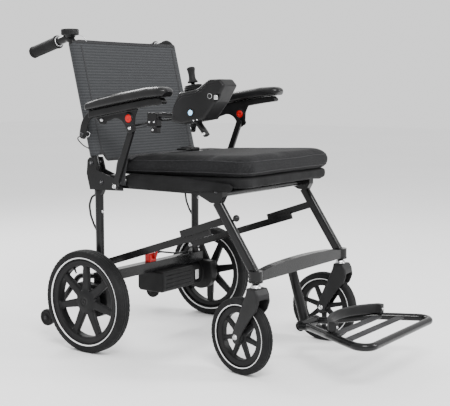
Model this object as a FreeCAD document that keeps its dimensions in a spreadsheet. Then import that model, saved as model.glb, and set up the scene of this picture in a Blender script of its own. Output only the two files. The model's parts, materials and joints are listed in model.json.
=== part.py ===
import FreeCAD, Part
import math
import os
import Sketcher
from FreeCAD import Placement, Rotation, Vector

# Power wheelchair, in millimetres, +Z up, front towards -Y, the chair's left towards +X.
# Sub-parts are drawn about a datum on the floor under the rear axle, and every one of them
# stands on that datum through the axle_setback cell of the sheet.

DRIVING_SIZES = {
    "axle_setback": 282.25,
    "rear_radius": 145.5,
    "rear_centre": 288.0,
    "tyre_width": 40.0,
    "rim_width": 26.0,
    "rim_outer": 117.0,
    "rim_inner": 101.0,
    "shaft_radius": 8.5,
    "running_fit": 0.06,
    "caster_radius": 101.6,
    "caster_width": 30.0,
    "caster_rim": 79.0,
    "stem_side": 220.0,
    "stem_setback": -523.0,
    "stem_radius": 8.0,
    "caster_trail": 50.0,
    "yaw_right": -9.1,
    "yaw_left": 2.5,
    "fork_gap": 36.0,
    "fork_width": 50.0,
    "crown_height": 236.0,
    "head_radius": 18.0,
    "head_base": 249.0,
    "head_height": 30.0,
    "leg_side": 217.0,
    "leg_depth": 29.0,
    "leg_width": 17.0,
    "rail_width": 22.0,
    "rail_height": 20.0,
    "rear_leg_side": 222.0,
    "rear_leg_radius": 12.0,
    "beam_height": 30.0,
    "beam_depth": 28.0,
    "beam_half": 240.0,
    "ear_thickness": 5.0,
    "ear_inner": 203.5,
    "ear_outer": 235.5,
    "pin_radius": 5.0,
    "stay_height": 20.0,
    "stay_thickness": 8.0,
    "stay_front_side": 209.0,
    "stay_rear_side": 199.0,
    "cushion_width": 464.0,
    "pan_width": 410.0,
    "upright_side": 221.0,
    "upright_radius": 11.0,
    "fabric_width": 468.0,
    "fabric_thickness": 5.0,
    "grip_radius": 17.0,
    "grip_length": 106.0,
    "pad_width": 56.0,
    "pad_side": 268.0,
    "plate_side": 258.0,
    "plate_thickness": 5.0,
    "post_side": 248.0,
    "post_thickness": 8.0,
    "post_width": 18.0,
    "button_radius": 11.5,
    "foot_tube_radius": 10.0,
    "slat_depth": 22.0,
    "slat_height": 5.0,
    "pod_width": 62.0,
    "pod_side": -265.0,
    "stick_lean": -10.0,
}

doc = FreeCAD.newDocument("power_wheelchair")
sheet = doc.addObject("Spreadsheet::Sheet", "dims")
for row, (alias, value) in enumerate(DRIVING_SIZES.items(), start=1):
    sheet.set(f"A{row}", alias)
    sheet.set(f"B{row}", str(value))
    sheet.setAlias(f"B{row}", alias)
doc.recompute()

SIDES = {"left": 1, "right": -1}
X_AXIS = Vector(1, 0, 0)
Y_AXIS = Vector(0, 1, 0)
Z_AXIS = Vector(0, 0, 1)
NO_TURN = Rotation()
sub_parts = []


def size(alias):
    return float(getattr(sheet, alias))


def publish(item, label):
    """Name an object as one of the finished sub-parts."""
    item.Label = label
    sub_parts.append(item)
    return item


def on_datum(item, start=Vector(), turn=NO_TURN):
    """Stand an object on the axle datum, shifted and turned."""
    item.Placement = Placement(start, turn)
    item.setExpression("Placement.Base.y", f"dims.axle_setback + {start.y:.4f}")
    return item


def turned_to(direction):
    """The rotation that lays +Z along a direction."""
    return Rotation(Z_AXIS, direction)


# ---------------------------------------------------------------- primitives

def rod(name, radius, start, end):
    """A Part cylinder between two points; radius is a formula."""
    item = doc.addObject("Part::Cylinder", name)
    item.setExpression("Radius", radius)
    item.Height = (end - start).Length
    return on_datum(item, start, turned_to(end - start))


def block(name, low, high):
    item = doc.addObject("Part::Box", name)
    item.Length = high.x - low.x
    item.Width = high.y - low.y
    item.Height = high.z - low.z
    return on_datum(item, low)


def fused(name, items):
    item = doc.addObject("Part::MultiFuse", name)
    item.Shapes = items
    return item


def grouped(name, items):
    item = doc.addObject("Part::Compound", name)
    item.Links = items
    return item


def cut(name, base, tools):
    """Take each tool away from the base in turn."""
    for tool in tools:
        item = doc.addObject("Part::Cut", name)
        item.Base = base
        item.Tool = tool
        base = item
    return base


def cross_rod(name, radius, x_start, x_end, y, z):
    """A cylinder along X at a height and a setback."""
    return rod(name, radius, Vector(x_start, y, z), Vector(x_end, y, z))


# ---------------------------------------------------------------- PartDesign bodies

def new_body(name):
    return doc.addObject("PartDesign::Body", name)


def plane_of(body, role):
    return next(f for f in body.Origin.OriginFeatures if f.Role == role)


def new_sketch(body, name, role, offset=0.0):
    sketch = body.newObject("Sketcher::SketchObject", name)
    sketch.AttachmentSupport = [(plane_of(body, role), "")]
    sketch.MapMode = "FlatFace"
    sketch.AttachmentOffset = Placement(Vector(0, 0, offset), NO_TURN)
    return sketch


def add_outline(sketch, points):
    """A closed outline of (u, v) points; a third value bulges the side that follows it.

    The third value is the sagitta of a circular arc, positive to the left of the side.
    """
    count = len(points)
    for i, point in enumerate(points):
        here = Vector(point[0], point[1], 0)
        there = Vector(points[(i + 1) % count][0], points[(i + 1) % count][1], 0)
        if len(point) == 3:
            along = (there - here).normalize()
            middle = (here + there) * 0.5 + Vector(-along.y, along.x, 0) * point[2]
            sketch.addGeometry(Part.Arc(here, middle, there))
        else:
            sketch.addGeometry(Part.LineSegment(here, there))


def add_circle(sketch, u, v, radius):
    """A circle whose radius follows a formula."""
    index = sketch.addGeometry(Part.Circle(Vector(u, v, 0), Z_AXIS, 1.0))
    constraint = sketch.addConstraint(Sketcher.Constraint("Radius", index, 1.0))
    sketch.setExpression(f"Constraints[{constraint}]", radius)


def pad(body, sketch, length, symmetric=False):
    feature = body.newObject("PartDesign::Pad", sketch.Name + "_pad")
    feature.Profile = sketch
    feature.setExpression("Length", length)
    feature.SideType = "Symmetric" if symmetric else "One side"
    body.Tip = feature
    return feature


def pocket_through(body, sketch):
    feature = body.newObject("PartDesign::Pocket", sketch.Name + "_pocket")
    feature.Profile = sketch
    feature.Type = "ThroughAll"
    feature.Midplane = True
    body.Tip = feature
    return feature


def revolved(body, sketch):
    feature = body.newObject("PartDesign::Revolution", sketch.Name + "_turn")
    feature.Profile = sketch
    feature.ReferenceAxis = (sketch, ["V_Axis"])
    feature.Angle = 360.0
    body.Tip = feature
    return feature


def round_edges(body, radius, wanted):
    """Fillet the edges of the tip whose middle point passes the test."""
    doc.recompute()
    base = body.Tip
    names = []
    for number, edge in enumerate(base.Shape.Edges, start=1):
        middle = edge.valueAt((edge.FirstParameter + edge.LastParameter) / 2)
        if wanted(edge, middle):
            names.append(f"Edge{number}")
    feature = body.newObject("PartDesign::Fillet", body.Name + "_rounding")
    feature.Base = (base, names)
    feature.Radius = radius
    body.Tip = feature
    return feature


def rim_edges(low, high, gap=0.01):
    """A test for edges that lie in either end plane of a pad along X."""
    def wanted(edge, middle):
        box = edge.BoundBox
        flat = box.XLength < gap
        return flat and min(abs(middle.x - low), abs(middle.x - high)) < gap
    return wanted


def side_plate(name, x_low, thickness, points, holes=()):
    """A flat plate across X from a side outline of (y, z) points, with round holes."""
    body = new_body(name)
    sketch = new_sketch(body, name + "_outline", "YZ_Plane", x_low)
    add_outline(sketch, points)
    for y, z, radius in holes:
        add_circle(sketch, y, z, radius)
    pad(body, sketch, thickness)
    return on_datum(body)


def mirrored_low(side, inner, thickness):
    """The lower X of a plate whose near face is at inner on one side of the chair."""
    return inner if side > 0 else -inner - thickness


# ---------------------------------------------------------------- bent tubes

def rounded_wire(points, bends):
    """Straight runs joined by tangent arcs, one bend radius for each inner point."""
    edges = []
    here = points[0]
    for i in range(1, len(points) - 1):
        before = (points[i - 1] - points[i]).normalize()
        after = (points[i + 1] - points[i]).normalize()
        half = before.getAngle(after) / 2
        reach = bends[i - 1] / math.tan(half)
        inward = (before + after).normalize()
        start = points[i] + before * reach
        end = points[i] + after * reach
        centre = points[i] + inward * (bends[i - 1] / math.sin(half))
        edges.append(Part.LineSegment(here, start).toShape())
        edges.append(Part.Arc(start, centre - inward * bends[i - 1], end).toShape())
        here = end
    edges.append(Part.LineSegment(here, points[-1]).toShape())
    return Part.Wire(edges)


def tube_shape(points, bends, radius):
    wire = rounded_wire(points, bends)
    ring = Part.makeCircle(radius, points[0], points[1] - points[0])
    shape = wire.makePipeShell([Part.Wire([ring])], True, True)
    expected = math.pi * radius ** 2 * wire.Length
    if abs(shape.Volume / expected - 1) > 0.01:
        raise ValueError("a swept tube lost or gained volume")
    return shape


def shaped(name, shape):
    """A Part feature that holds a shape drawn about the datum."""
    item = doc.addObject("Part::Feature", name)
    item.Shape = shape
    return on_datum(item)


# ---------------------------------------------------------------- wheels

def wheel_profile_body(name, profile):
    body = new_body(name)
    sketch = new_sketch(body, name + "_section", "XZ_Plane")
    add_outline(sketch, profile)
    revolved(body, sketch)
    return body


def tyre(name, bead, radius, half):
    """Tyre section: beads, upright walls and a crowned tread."""
    wall = bead + 0.62 * (radius - bead)
    shoulder = half * 0.92
    return wheel_profile_body(name, [
        (bead, -half * 0.72), (wall - 4, -half), (wall, -half),
        (radius - 5, -shoulder, -5), (radius - 5, shoulder),
        (wall, half), (wall - 4, half), (bead, half * 0.72),
    ])


def spoked_rim(name, rim, hub, spoke, bore, shaft):
    """Hub, seven tapered spokes and a channel rim, turned about local Z.

    rim is (inner radius, outer radius, half width), hub is (radius, low, high),
    spoke is (root half width, tip half width, low, thickness).
    """
    body = new_body(name)
    hub_sketch = new_sketch(body, name + "_hub", "XZ_Plane")
    hub_radius, low, high = hub
    add_outline(hub_sketch, [
        (bore, low), (hub_radius, low), (hub_radius, high - 5),
        (hub_radius * 0.7, high), (bore, high),
    ])
    revolved(body, hub_sketch)
    spoke_sketch = new_sketch(body, name + "_spoke", "XY_Plane", spoke[2])
    root = hub_radius - 6
    tip = rim[0] + 4
    add_outline(spoke_sketch, [
        (root, -spoke[0]), (tip, -spoke[1]), (tip, spoke[1]), (root, spoke[0]),
    ])
    spoke_pad = pad(body, spoke_sketch, str(spoke[3]))
    pattern = body.newObject("PartDesign::PolarPattern", name + "_spokes")
    pattern.Originals = [spoke_pad]
    pattern.Axis = (spoke_sketch, ["N_Axis"])
    pattern.Angle = 360.0
    pattern.Occurrences = 7
    body.Tip = pattern
    rim_sketch = new_sketch(body, name + "_ring", "XZ_Plane")
    add_outline(rim_sketch, [
        (rim[0], -rim[2]), (rim[1], -rim[2]), (rim[1], rim[2]), (rim[0], rim[2]),
    ])
    revolved(body, rim_sketch)
    if shaft:
        shaft_sketch = new_sketch(body, name + "_shaft", "XZ_Plane")
        add_outline(shaft_sketch, [
            (0, shaft), (size("shaft_radius"), shaft), (size("shaft_radius"), high - 6),
            (0, high - 6),
        ])
        revolved(body, shaft_sketch)
    return body


def make_rear_wheels():
    radius = size("rear_radius")
    bead = size("rim_outer")
    for side_name, side in SIDES.items():
        spin = Rotation(Y_AXIS, 90 * side)
        centre = Vector(side * size("rear_centre"), 0, radius)
        tyre_body = tyre(f"rear_tyre_{side_name}", bead, radius, size("tyre_width") / 2)
        rim_body = spoked_rim(
            f"rear_rim_{side_name}",
            (size("rim_inner"), bead, size("rim_width") / 2),
            (33.0, -19.0, 15.0), (12.5, 9.0, -4.0, 13.0), 0.0, -44.0,
        )
        for body in (tyre_body, rim_body):
            publish(on_datum(body, centre, spin), body.Name)


def caster_frame(side_name, side):
    """The turn of a caster about its stem, and its wheel centre."""
    yaw = Rotation(Z_AXIS, size(f"yaw_{side_name}"))
    stem = Vector(side * size("stem_side"), size("stem_setback"), 0)
    wheel = stem + yaw.multVec(Vector(0, size("caster_trail"), 0))
    wheel.z = size("caster_radius")
    return yaw, stem, wheel


def fork_body(name):
    """Caster fork: one side outline padded across, slotted for the wheel, with its stem."""
    body = new_body(name)
    outline = new_sketch(body, name + "_outline", "YZ_Plane")
    crown = size("crown_height")
    trail = size("caster_trail")
    axle = size("caster_radius")
    add_outline(outline, [
        (-19, crown), (-27, crown - 14), (-30, crown - 34), (-22, 180, 3), (trail - 16, axle + 3),
        (trail - 10, axle - 13, -7), (trail + 11, axle - 12), (trail + 15, axle + 3),
        (27, 192), (14, crown - 14), (12, crown),
    ])
    pad(body, outline, "dims.fork_width", symmetric=True)
    slot = new_sketch(body, name + "_slot", "XZ_Plane")
    half = size("fork_gap") / 2
    roof = 2 * axle + 4.4
    add_outline(slot, [(-half, 60), (half, 60), (half, roof), (-half, roof)])
    pocket_through(body, slot)
    round_edges(body, 5.0, rim_edges(-size("fork_width") / 2, size("fork_width") / 2))
    bore = new_sketch(body, name + "_axle_bore", "YZ_Plane")
    add_circle(bore, trail, axle, "dims.pin_radius")
    pocket_through(body, bore)
    stem = new_sketch(body, name + "_stem", "XY_Plane", crown - 1)
    add_circle(stem, 0, 0, "dims.stem_radius")
    pad(body, stem, "dims.head_base + dims.head_height - dims.crown_height - 3")
    return body


def make_casters():
    for side_name, side in SIDES.items():
        yaw, stem, wheel = caster_frame(side_name, side)
        publish(on_datum(fork_body(f"caster_fork_{side_name}"), stem, yaw), f"caster_fork_{side_name}")
        spin = yaw.multiply(Rotation(Y_AXIS, 90 * side))
        tyre_body = tyre(
            f"caster_tyre_{side_name}", size("caster_rim"), size("caster_radius"),
            size("caster_width") / 2,
        )
        rim_body = spoked_rim(
            f"caster_rim_{side_name}",
            (62.0, size("caster_rim"), 10.0), (17.0, -16.5, 16.5), (8.0, 5.5, -5.0, 10.0),
            size("pin_radius") + size("running_fit"), 0,
        )
        for body in (tyre_body, rim_body):
            publish(on_datum(body, wheel, spin), body.Name)
        axle = doc.addObject("Part::Cylinder", f"caster_axle_{side_name}")
        axle.setExpression("Radius", "dims.pin_radius")
        axle.setExpression("Height", "dims.fork_width")
        reach = spin.multVec(Vector(0, 0, -size("fork_width") / 2))
        publish(on_datum(axle, wheel + reach, spin), axle.Name)


# ---------------------------------------------------------------- chassis

GUSSET = [(-337, 484), (-424, 484), (-424, 462), (-414, 444), (-386, 444), (-337, 466)]
LEG_FOOT = Vector(0, -521, 268)
LEG_TOP = Vector(0, -400, 446)
STAY_SLOPE = Vector(0, -376, 124)
STAY_REAR_PIN = Vector(0, 11, 240)
FOLD_PIN = Vector(0, -15, 478)
BACK_PIN = Vector(0, 23, 530)
POST_PIN = Vector(0, -77, 471)
BUTTON = Vector(0, -139, 659)
ARM_PIN = Vector(0, 42.7, 610)
FOOT_PIN = Vector(0, -549, 104)


def stadium_pad(name, length, depth, width):
    """A flat-sided oval bar, padded along local Z, long way along local Y."""
    body = new_body(name)
    sketch = new_sketch(body, name + "_section", "XY_Plane")
    half = width / 2
    flat = depth / 2 - half
    add_outline(sketch, [
        (half, -flat), (half, flat, -half), (-half, flat), (-half, -flat, -half),
    ])
    pad(body, sketch, str(length))
    return body


def make_front_frame():
    gussets = []
    legs = []
    for side_name, side in SIDES.items():
        low = mirrored_low(side, size("leg_side") - 11, 22)
        gusset = side_plate(f"gusset_{side_name}", low, "dims.rail_width", GUSSET)
        gussets.append(gusset)
        shift = Vector(side * size("leg_side"), 0, 0)
        run = LEG_TOP - LEG_FOOT
        bar = stadium_pad(
            f"leg_bar_{side_name}", run.Length, size("leg_depth"), size("leg_width"))
        on_datum(bar, LEG_FOOT + shift, turned_to(run))
        foot = Vector(side * size("stem_side"), size("stem_setback"), size("head_base"))
        head_top = foot + Vector(0, 0, size("head_height"))
        head = rod(f"head_{side_name}", "dims.head_radius", foot, head_top)
        bore = rod(f"head_bore_{side_name}", "dims.stem_radius + dims.running_fit",
                   foot - Vector(0, 0, 1), head_top - Vector(0, 0, 2))
        below = block(f"below_head_{side_name}", foot - Vector(40, 60, 60), foot + Vector(40, 60, 0))
        solid = fused(f"leg_solid_{side_name}", [bar, head])
        legs.append(cut(f"leg_{side_name}", solid, [bore, below, gusset]))
    publish(grouped("front_leg_pair", legs), "front_legs")
    rails = []
    for side_name, side in SIDES.items():
        low = Vector(mirrored_low(side, size("leg_side") - 11, 22), -337, 464)
        rail = doc.addObject("Part::Box", f"rail_{side_name}")
        rail.setExpression("Length", "dims.rail_width")
        rail.setExpression("Height", "dims.rail_height")
        rail.Width = 277
        rails.append(fused(f"rail_with_gusset_{side_name}", [on_datum(rail, low), gussets.pop(0)]))
    publish(grouped("seat_rail_pair", rails), "seat_rails")
    inner = size("leg_side") - 11
    publish(cross_rod("front_crossbar", "10", -inner, inner, -392, 466), "front_crossbar")


def make_lower_cross():
    """Arched cross member between the caster heads, with the footrest hanger under it."""
    reach = size("stem_side") - size("head_radius") + 1.2
    body = new_body("lower_crossbar_body")
    sketch = new_sketch(body, "lower_crossbar_outline", "XZ_Plane", -size("stem_setback") - 11)
    add_outline(sketch, [
        (-reach, 252), (reach, 252), (reach, 277), (150, 284, -5), (-150, 284), (-reach, 277),
    ])
    pad(body, sketch, "22")
    on_datum(body)
    heads = [
        rod(f"head_relief_{name}", "dims.head_radius",
            Vector(side * size("stem_side"), size("stem_setback"), 240),
            Vector(side * size("stem_side"), size("stem_setback"), 300))
        for name, side in SIDES.items()
    ]
    publish(cut("lower_cross_solid", body, heads), "lower_crossbar")

    hanger = stadium_pad("hanger_bar", 160, 26, 24)
    run = Vector(0, -46, -152)
    on_datum(hanger, Vector(0, -492, 254), turned_to(run))
    cross_copy = block("hanger_relief", Vector(-60, -534.2, 250), Vector(60, -511.8, 300))
    eye = cross_rod("hinge_eye", "13", -30, 30, FOOT_PIN.y, FOOT_PIN.z)
    pin_hole = cross_rod("hinge_hole", "dims.pin_radius + dims.running_fit", -31, 31,
                         FOOT_PIN.y, FOOT_PIN.z)
    welded = fused("hanger_welded", [cut("hanger_bar_cut", hanger, [cross_copy]), eye])
    publish(cut("hanger_solid", welded, [pin_hole]), "footrest_hanger")


def make_footrest():
    """The plate frame, its slats and heel loop, which flip up about the pin of the hanger."""
    height = 118.0
    rear = Vector(44, FOOT_PIN.y, FOOT_PIN.z)
    half = [
        rear, Vector(44, -578, 106), Vector(128, -684, height), Vector(160, -742, height),
        Vector(204, -829, height),
    ]
    mirror = [Vector(-p.x, p.y, p.z) for p in reversed(half)]
    bends = [30, 60, 160, 30, 30, 160, 60, 30]
    loop = tube_shape(half + mirror, bends, size("foot_tube_radius"))
    pin = Part.makeCylinder(size("pin_radius"), 92, Vector(-46, FOOT_PIN.y, FOOT_PIN.z), X_AXIS)
    cheeks = [
        Part.makeCylinder(14, 13, Vector(x, FOOT_PIN.y, FOOT_PIN.z), X_AXIS) for x in (31, -44)
    ]
    frame_shape = loop.fuse([pin] + cheeks).removeSplitter()
    publish(shaped("footplate_frame", frame_shape), "footplate_frame")

    slats = []
    for y, half_length in ((-700, 126), (-752, 156)):
        bar = doc.addObject("Part::Box", f"slat_{-y}")
        bar.Length = 2 * half_length
        bar.setExpression("Width", "dims.slat_depth")
        bar.setExpression("Height", "dims.slat_height")
        slats.append(on_datum(bar, Vector(-half_length, y - size("slat_depth") / 2, height)))
    relief = shaped("slat_relief", loop)
    publish(cut("footplate_slats", grouped("slat_pair", slats), [relief]), "footplate_slats")

    body = new_body("heel_loop_body")
    sketch = new_sketch(body, "heel_loop_outline", "XY_Plane", height + 10.4)
    add_outline(sketch, [
        (-136, -690), (-136, -708), (-118, -708), (-118, -692, 46), (118, -692), (118, -708),
        (136, -708), (136, -690, -52),
    ])
    pad(body, sketch, "26")
    publish(on_datum(body), "heel_loop")


def make_rear_brackets():
    """Clevis at each rear corner: two ears and a web, for the rear leg, back and arm post."""
    inner_ear = [(-60, 455), (30, 455), (42, 500), (38, 538), (30, 546), (14, 546), (4, 512),
                 (-30, 500), (-60, 500)]
    outer_ear = [(-92, 458), (30, 455), (42, 500), (38, 538), (30, 546), (14, 546), (4, 512),
                 (-30, 500), (-92, 486)]
    pins = [(FOLD_PIN.y, FOLD_PIN.z, "dims.pin_radius"), (BACK_PIN.y, BACK_PIN.z, "dims.pin_radius")]
    post_hole = (POST_PIN.y, POST_PIN.z, "dims.pin_radius")
    ear = size("ear_thickness")
    clevises = []
    for name, side in SIDES.items():
        inner = side_plate(
            f"inner_ear_{name}", mirrored_low(side, size("ear_inner") - 2.5, ear),
            "dims.ear_thickness", inner_ear, pins)
        outer = side_plate(
            f"outer_ear_{name}", mirrored_low(side, size("ear_outer"), ear),
            "dims.ear_thickness", outer_ear, pins + [post_hole])
        low = mirrored_low(side, size("ear_inner"), size("ear_outer") - size("ear_inner"))
        web = block(f"bracket_web_{name}", Vector(low, -60, 486),
                    Vector(low + size("ear_outer") - size("ear_inner"), -44, 500))
        clevises.append(fused(f"clevis_{name}", [inner, outer, web]))
    publish(grouped("rear_bracket_pair", clevises), "rear_brackets")

    rods = []
    for name, side in SIDES.items():
        for label, pin, reach in (
            ("fold", FOLD_PIN, 243.5), ("back", BACK_PIN, 243.5), ("post", POST_PIN, 259.5),
        ):
            start = 198.0 if label != "post" else 233.5
            rods.append(cross_rod(
                f"{label}_pin_{name}", "dims.pin_radius", side * start, side * reach,
                pin.y, pin.z))
    publish(grouped("pivot_pin_set", rods), "pivot_pins")


def make_side_stays():
    along = STAY_SLOPE.normalize()
    across = Vector(0, -along.z, along.y)
    half = size("stay_height") / 2

    def bar_outline(start, end):
        corners = [start - across * half, end - across * half, end + across * half,
                   start + across * half]
        return [(p.y, p.z) for p in corners]

    front_start = Vector(0, -276, 350)
    front_end = Vector(0, -432, 403.5)
    fronts = []
    for name, side in SIDES.items():
        low = mirrored_low(side, size("stay_front_side"), size("stay_thickness"))
        bar = side_plate(f"stay_front_{name}", low, "dims.stay_thickness",
                         bar_outline(front_start, front_end))
        relief = stadium_pad(f"leg_relief_{name}", (LEG_TOP - LEG_FOOT).Length,
                             size("leg_depth"), size("leg_width"))
        on_datum(relief, LEG_FOOT + Vector(side * size("leg_side"), 0, 0),
                 turned_to(LEG_TOP - LEG_FOOT))
        fronts.append(cut(f"stay_front_cut_{name}", bar, [relief]))
    publish(grouped("stay_front_pair", fronts), "side_stay_fronts")
    length = Vector(0, -376, 124).Length
    for name, side in SIDES.items():
        low = mirrored_low(side, size("stay_rear_side"), size("stay_thickness"))
        body = side_plate(
            f"side_stay_rear_{name}", low, "dims.stay_thickness",
            bar_outline(STAY_REAR_PIN - along * 10, STAY_REAR_PIN + along * length),
            [(STAY_REAR_PIN.y, STAY_REAR_PIN.z, "dims.pin_radius + dims.running_fit")])
        publish(body, f"side_stay_rear_{name}")

    run = LEG_TOP - LEG_FOOT
    out = Vector(0, -run.z, run.y).normalize()
    face = LEG_FOOT + run * 0.7 + out * (size("leg_depth") / 2) - Vector(size("leg_side"), 0, 0)
    knob = doc.addObject("Part::Sphere", "stay_knob_ball")
    knob.Radius = 9
    on_datum(knob, face + out * 14)
    stem = rod("stay_knob_stem", "3", face + out * 0.3, face + out * 10)
    publish(fused("stay_knob_solid", [knob, stem]), "stay_knob")


def make_seat():
    body = new_body("seat_pan_body")
    sketch = new_sketch(body, "seat_pan_outline", "YZ_Plane")
    add_outline(sketch, [(-64, 488), (-64, 496), (-470, 510), (-482, 500), (-470, 488)])
    pad(body, sketch, "dims.pan_width", symmetric=True)
    publish(on_datum(body), "seat_pan")

    body = new_body("seat_cushion_body")
    sketch = new_sketch(body, "seat_cushion_outline", "YZ_Plane")
    add_outline(sketch, [
        (-42, 500), (-42, 536, -4), (-54, 548), (-357, 563), (-484, 563, -9), (-508, 542),
        (-506, 524, -4), (-490, 514),
    ])
    pad(body, sketch, "dims.cushion_width", symmetric=True)
    publish(on_datum(body), "seat_cushion")

    webbing = block("belt_webbing", Vector(-214, -112, 551.8), Vector(214, -74, 554.4))
    buckle = block("belt_buckle", Vector(24, -116, 554.6), Vector(88, -70, 566))
    publish(grouped("belt_set", [webbing, buckle]), "lap_belt")


# ---------------------------------------------------------------- rear frame

def make_rear_frame():
    legs = []
    side_at = size("rear_leg_side")
    for name, side in SIDES.items():
        foot = Vector(side * side_at, 11, 217)
        tube = rod(f"rear_tube_{name}", "dims.rear_leg_radius", foot, Vector(foot.x, 11, 452))
        lug = side_plate(
            f"fold_lug_{name}", mirrored_low(side, side_at - 7, 14), "14",
            [(23, 440), (23, 456), (-8, 489, -3), (-25, 486, -3), (-25, 470, -3), (-12, 462), (0, 440)],
            [(FOLD_PIN.y, FOLD_PIN.z, "dims.pin_radius + dims.running_fit")])
        pin = cross_rod(f"stay_pin_{name}", "dims.pin_radius", side * (side_at - 9), side * 197,
                        STAY_REAR_PIN.y, STAY_REAR_PIN.z)
        legs.append(fused(f"rear_leg_{name}", [tube, lug, pin]))
    publish(grouped("rear_leg_pair", legs), "rear_legs")

    beam = doc.addObject("Part::Box", "axle_beam")
    beam.setExpression("Length", "2 * dims.beam_half")
    beam.setExpression("Width", "dims.beam_depth")
    beam.setExpression("Height", "dims.beam_height")
    publish(on_datum(beam, Vector(-size("beam_half"), -7, 187)), "axle_beam")

    body = new_body("battery_case_body")
    sketch = new_sketch(body, "battery_case_outline", "YZ_Plane", -9)
    add_outline(sketch, [(-46, 187), (-46, 132), (-38, 124), (48, 124), (56, 132), (56, 187)])
    pad(body, sketch, "154")
    round_edges(body, 4.0, rim_edges(-9, 145))
    publish(on_datum(body), "battery_case")

    publish(block("battery_plug", Vector(-24, -6, 217), Vector(8, 14, 243)), "battery_plug")

    motors = []
    for name, side in SIDES.items():
        low = mirrored_low(side, 232, 30)
        outline = [(-44, 187), (-48, 145, -4), (-32, 106, -7), (20, 97, -6), (64, 120, -4),
                   (64, 187)]
        gearbox = side_plate(f"gearbox_{name}", low, "30", outline)
        can = cross_rod(f"motor_can_{name}", "36", side * 152, side * 233, 22, 146)
        bore = cross_rod(f"gearbox_bore_{name}", "dims.shaft_radius + dims.running_fit",
                         side * 242, side * 264, 0, size("rear_radius"))
        solid = fused(f"motor_solid_{name}", [gearbox, can])
        motors.append(cut(f"gear_motor_{name}", solid, [bore]))
    publish(grouped("gear_motor_pair", motors), "gear_motors")

    arms = []
    for name, side in SIDES.items():
        x = side * 226
        route = [Vector(x, 12, 206), Vector(x, 92, 198), Vector(x, 208, 61)]
        beam_end = Part.makeBox(40, 28, 30, Vector(x - 20, -7, 187))
        stub = Part.makeCylinder(5, 26, Vector(x, 208, 61), Vector(side, 0, 0))
        arm = tube_shape(route, [38], 8).cut(beam_end).fuse(stub)
        arms.append(shaped(f"anti_tip_arm_{name}", arm))
        wheel = cross_rod(f"anti_tip_disc_{name}", "25", side * 236, side * 251, 208, 61)
        hole = cross_rod(f"anti_tip_bore_{name}", "5 + dims.running_fit", side * 230,
                         side * 260, 208, 61)
        publish(cut(f"anti_tip_solid_{name}", wheel, [hole]), f"anti_tip_wheel_{name}")
    publish(grouped("anti_tip_arm_pair", arms), "anti_tip_arms")

    cables = []
    for name, side in SIDES.items():
        x = side * side_at
        route = [Vector(x, 22.6, 440), Vector(x, 40, 432), Vector(x, 51, 408), Vector(x, 46, 378),
                 Vector(x, 34, 352), Vector(x, 22.6, 336)]
        leg = Part.makeCylinder(size("rear_leg_radius"), 235, Vector(x, 11, 217))
        cable = tube_shape(route, [16, 30, 40, 40], 3).cut(leg)
        cables.append(shaped(f"motor_cable_{name}", cable))
    publish(grouped("motor_cable_pair", cables), "motor_cables")


# ---------------------------------------------------------------- backrest

BACK_FOOT = Vector(0, 15.6, 500)
BACK_BEND = Vector(0, 110.6, 886.5)
GRIP_START = Vector(0, 163, 872)
GRIP_END = Vector(0, 265.2, 843.6)


def make_backrest():
    radius = size("upright_radius")
    for name, side in SIDES.items():
        shift = Vector(side * size("upright_side"), 0, 0)
        route = [BACK_FOOT + shift, BACK_BEND + shift, GRIP_END + shift]
        tube = tube_shape(route, [24], radius)
        pin_hole = Part.makeCylinder(
            size("pin_radius") + size("running_fit"), 40, Vector(shift.x - 20, BACK_PIN.y, BACK_PIN.z),
            X_AXIS)
        stud = Part.makeCylinder(
            size("pin_radius"), 33, Vector(shift.x + side * 5, ARM_PIN.y, ARM_PIN.z),
            Vector(side, 0, 0))
        publish(shaped(f"back_upright_{name}", tube.cut(pin_hole).fuse(stud)), f"back_upright_{name}")

    grips = []
    run = (GRIP_END - GRIP_START).normalize()
    for name, side in SIDES.items():
        shift = Vector(side * size("upright_side"), 0, 0)
        start = GRIP_START + shift
        sleeve = rod(f"grip_sleeve_{name}", "dims.grip_radius", start,
                     start + run * (size("grip_length") + 5))
        bore = rod(f"grip_bore_{name}", "dims.upright_radius", start - run * 2,
                   GRIP_END + shift)
        grips.append(cut(f"handle_grip_{name}", sleeve, [bore]))
    publish(grouped("handle_grip_pair", grips), "handle_grips")

    at = Vector(-size("upright_side"), 117, 0)
    drum = rod("handle_drum_top", "26", at + Vector(0, 0, 886), at + Vector(0, 0, 907))
    neck = rod("handle_drum_neck", "15", at + Vector(0, 0, 872), at + Vector(0, 0, 886))
    blank = fused("handle_drum_blank", [drum, neck])
    under = shaped("handle_drum_relief", tube_shape(
        [p + Vector(at.x, 0, 0) for p in (BACK_FOOT, BACK_BEND, GRIP_END)], [24], radius))
    publish(cut("handle_drum_solid", blank, [under]), "handle_drum")

    inner = size("upright_side") - radius
    publish(cross_rod("back_brace", "7", -inner + 0.4, inner - 0.4, 82, 770), "back_brace")

    lean = (BACK_BEND - BACK_FOOT).normalize()
    normal = Vector(0, -lean.z, lean.y)
    body = new_body("back_fabric_body")
    sketch = new_sketch(body, "back_fabric_outline", "YZ_Plane")
    face = radius + 0.4
    low = BACK_FOOT + lean * 50 + normal * face
    high = BACK_FOOT + lean * 384 + normal * face
    thick = normal * size("fabric_thickness")
    add_outline(sketch, [(p.y, p.z) for p in (low, high, high + thick, low + thick)])
    pad(body, sketch, "dims.fabric_width", symmetric=True)
    publish(on_datum(body), "back_fabric")


# ---------------------------------------------------------------- armrests

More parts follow.
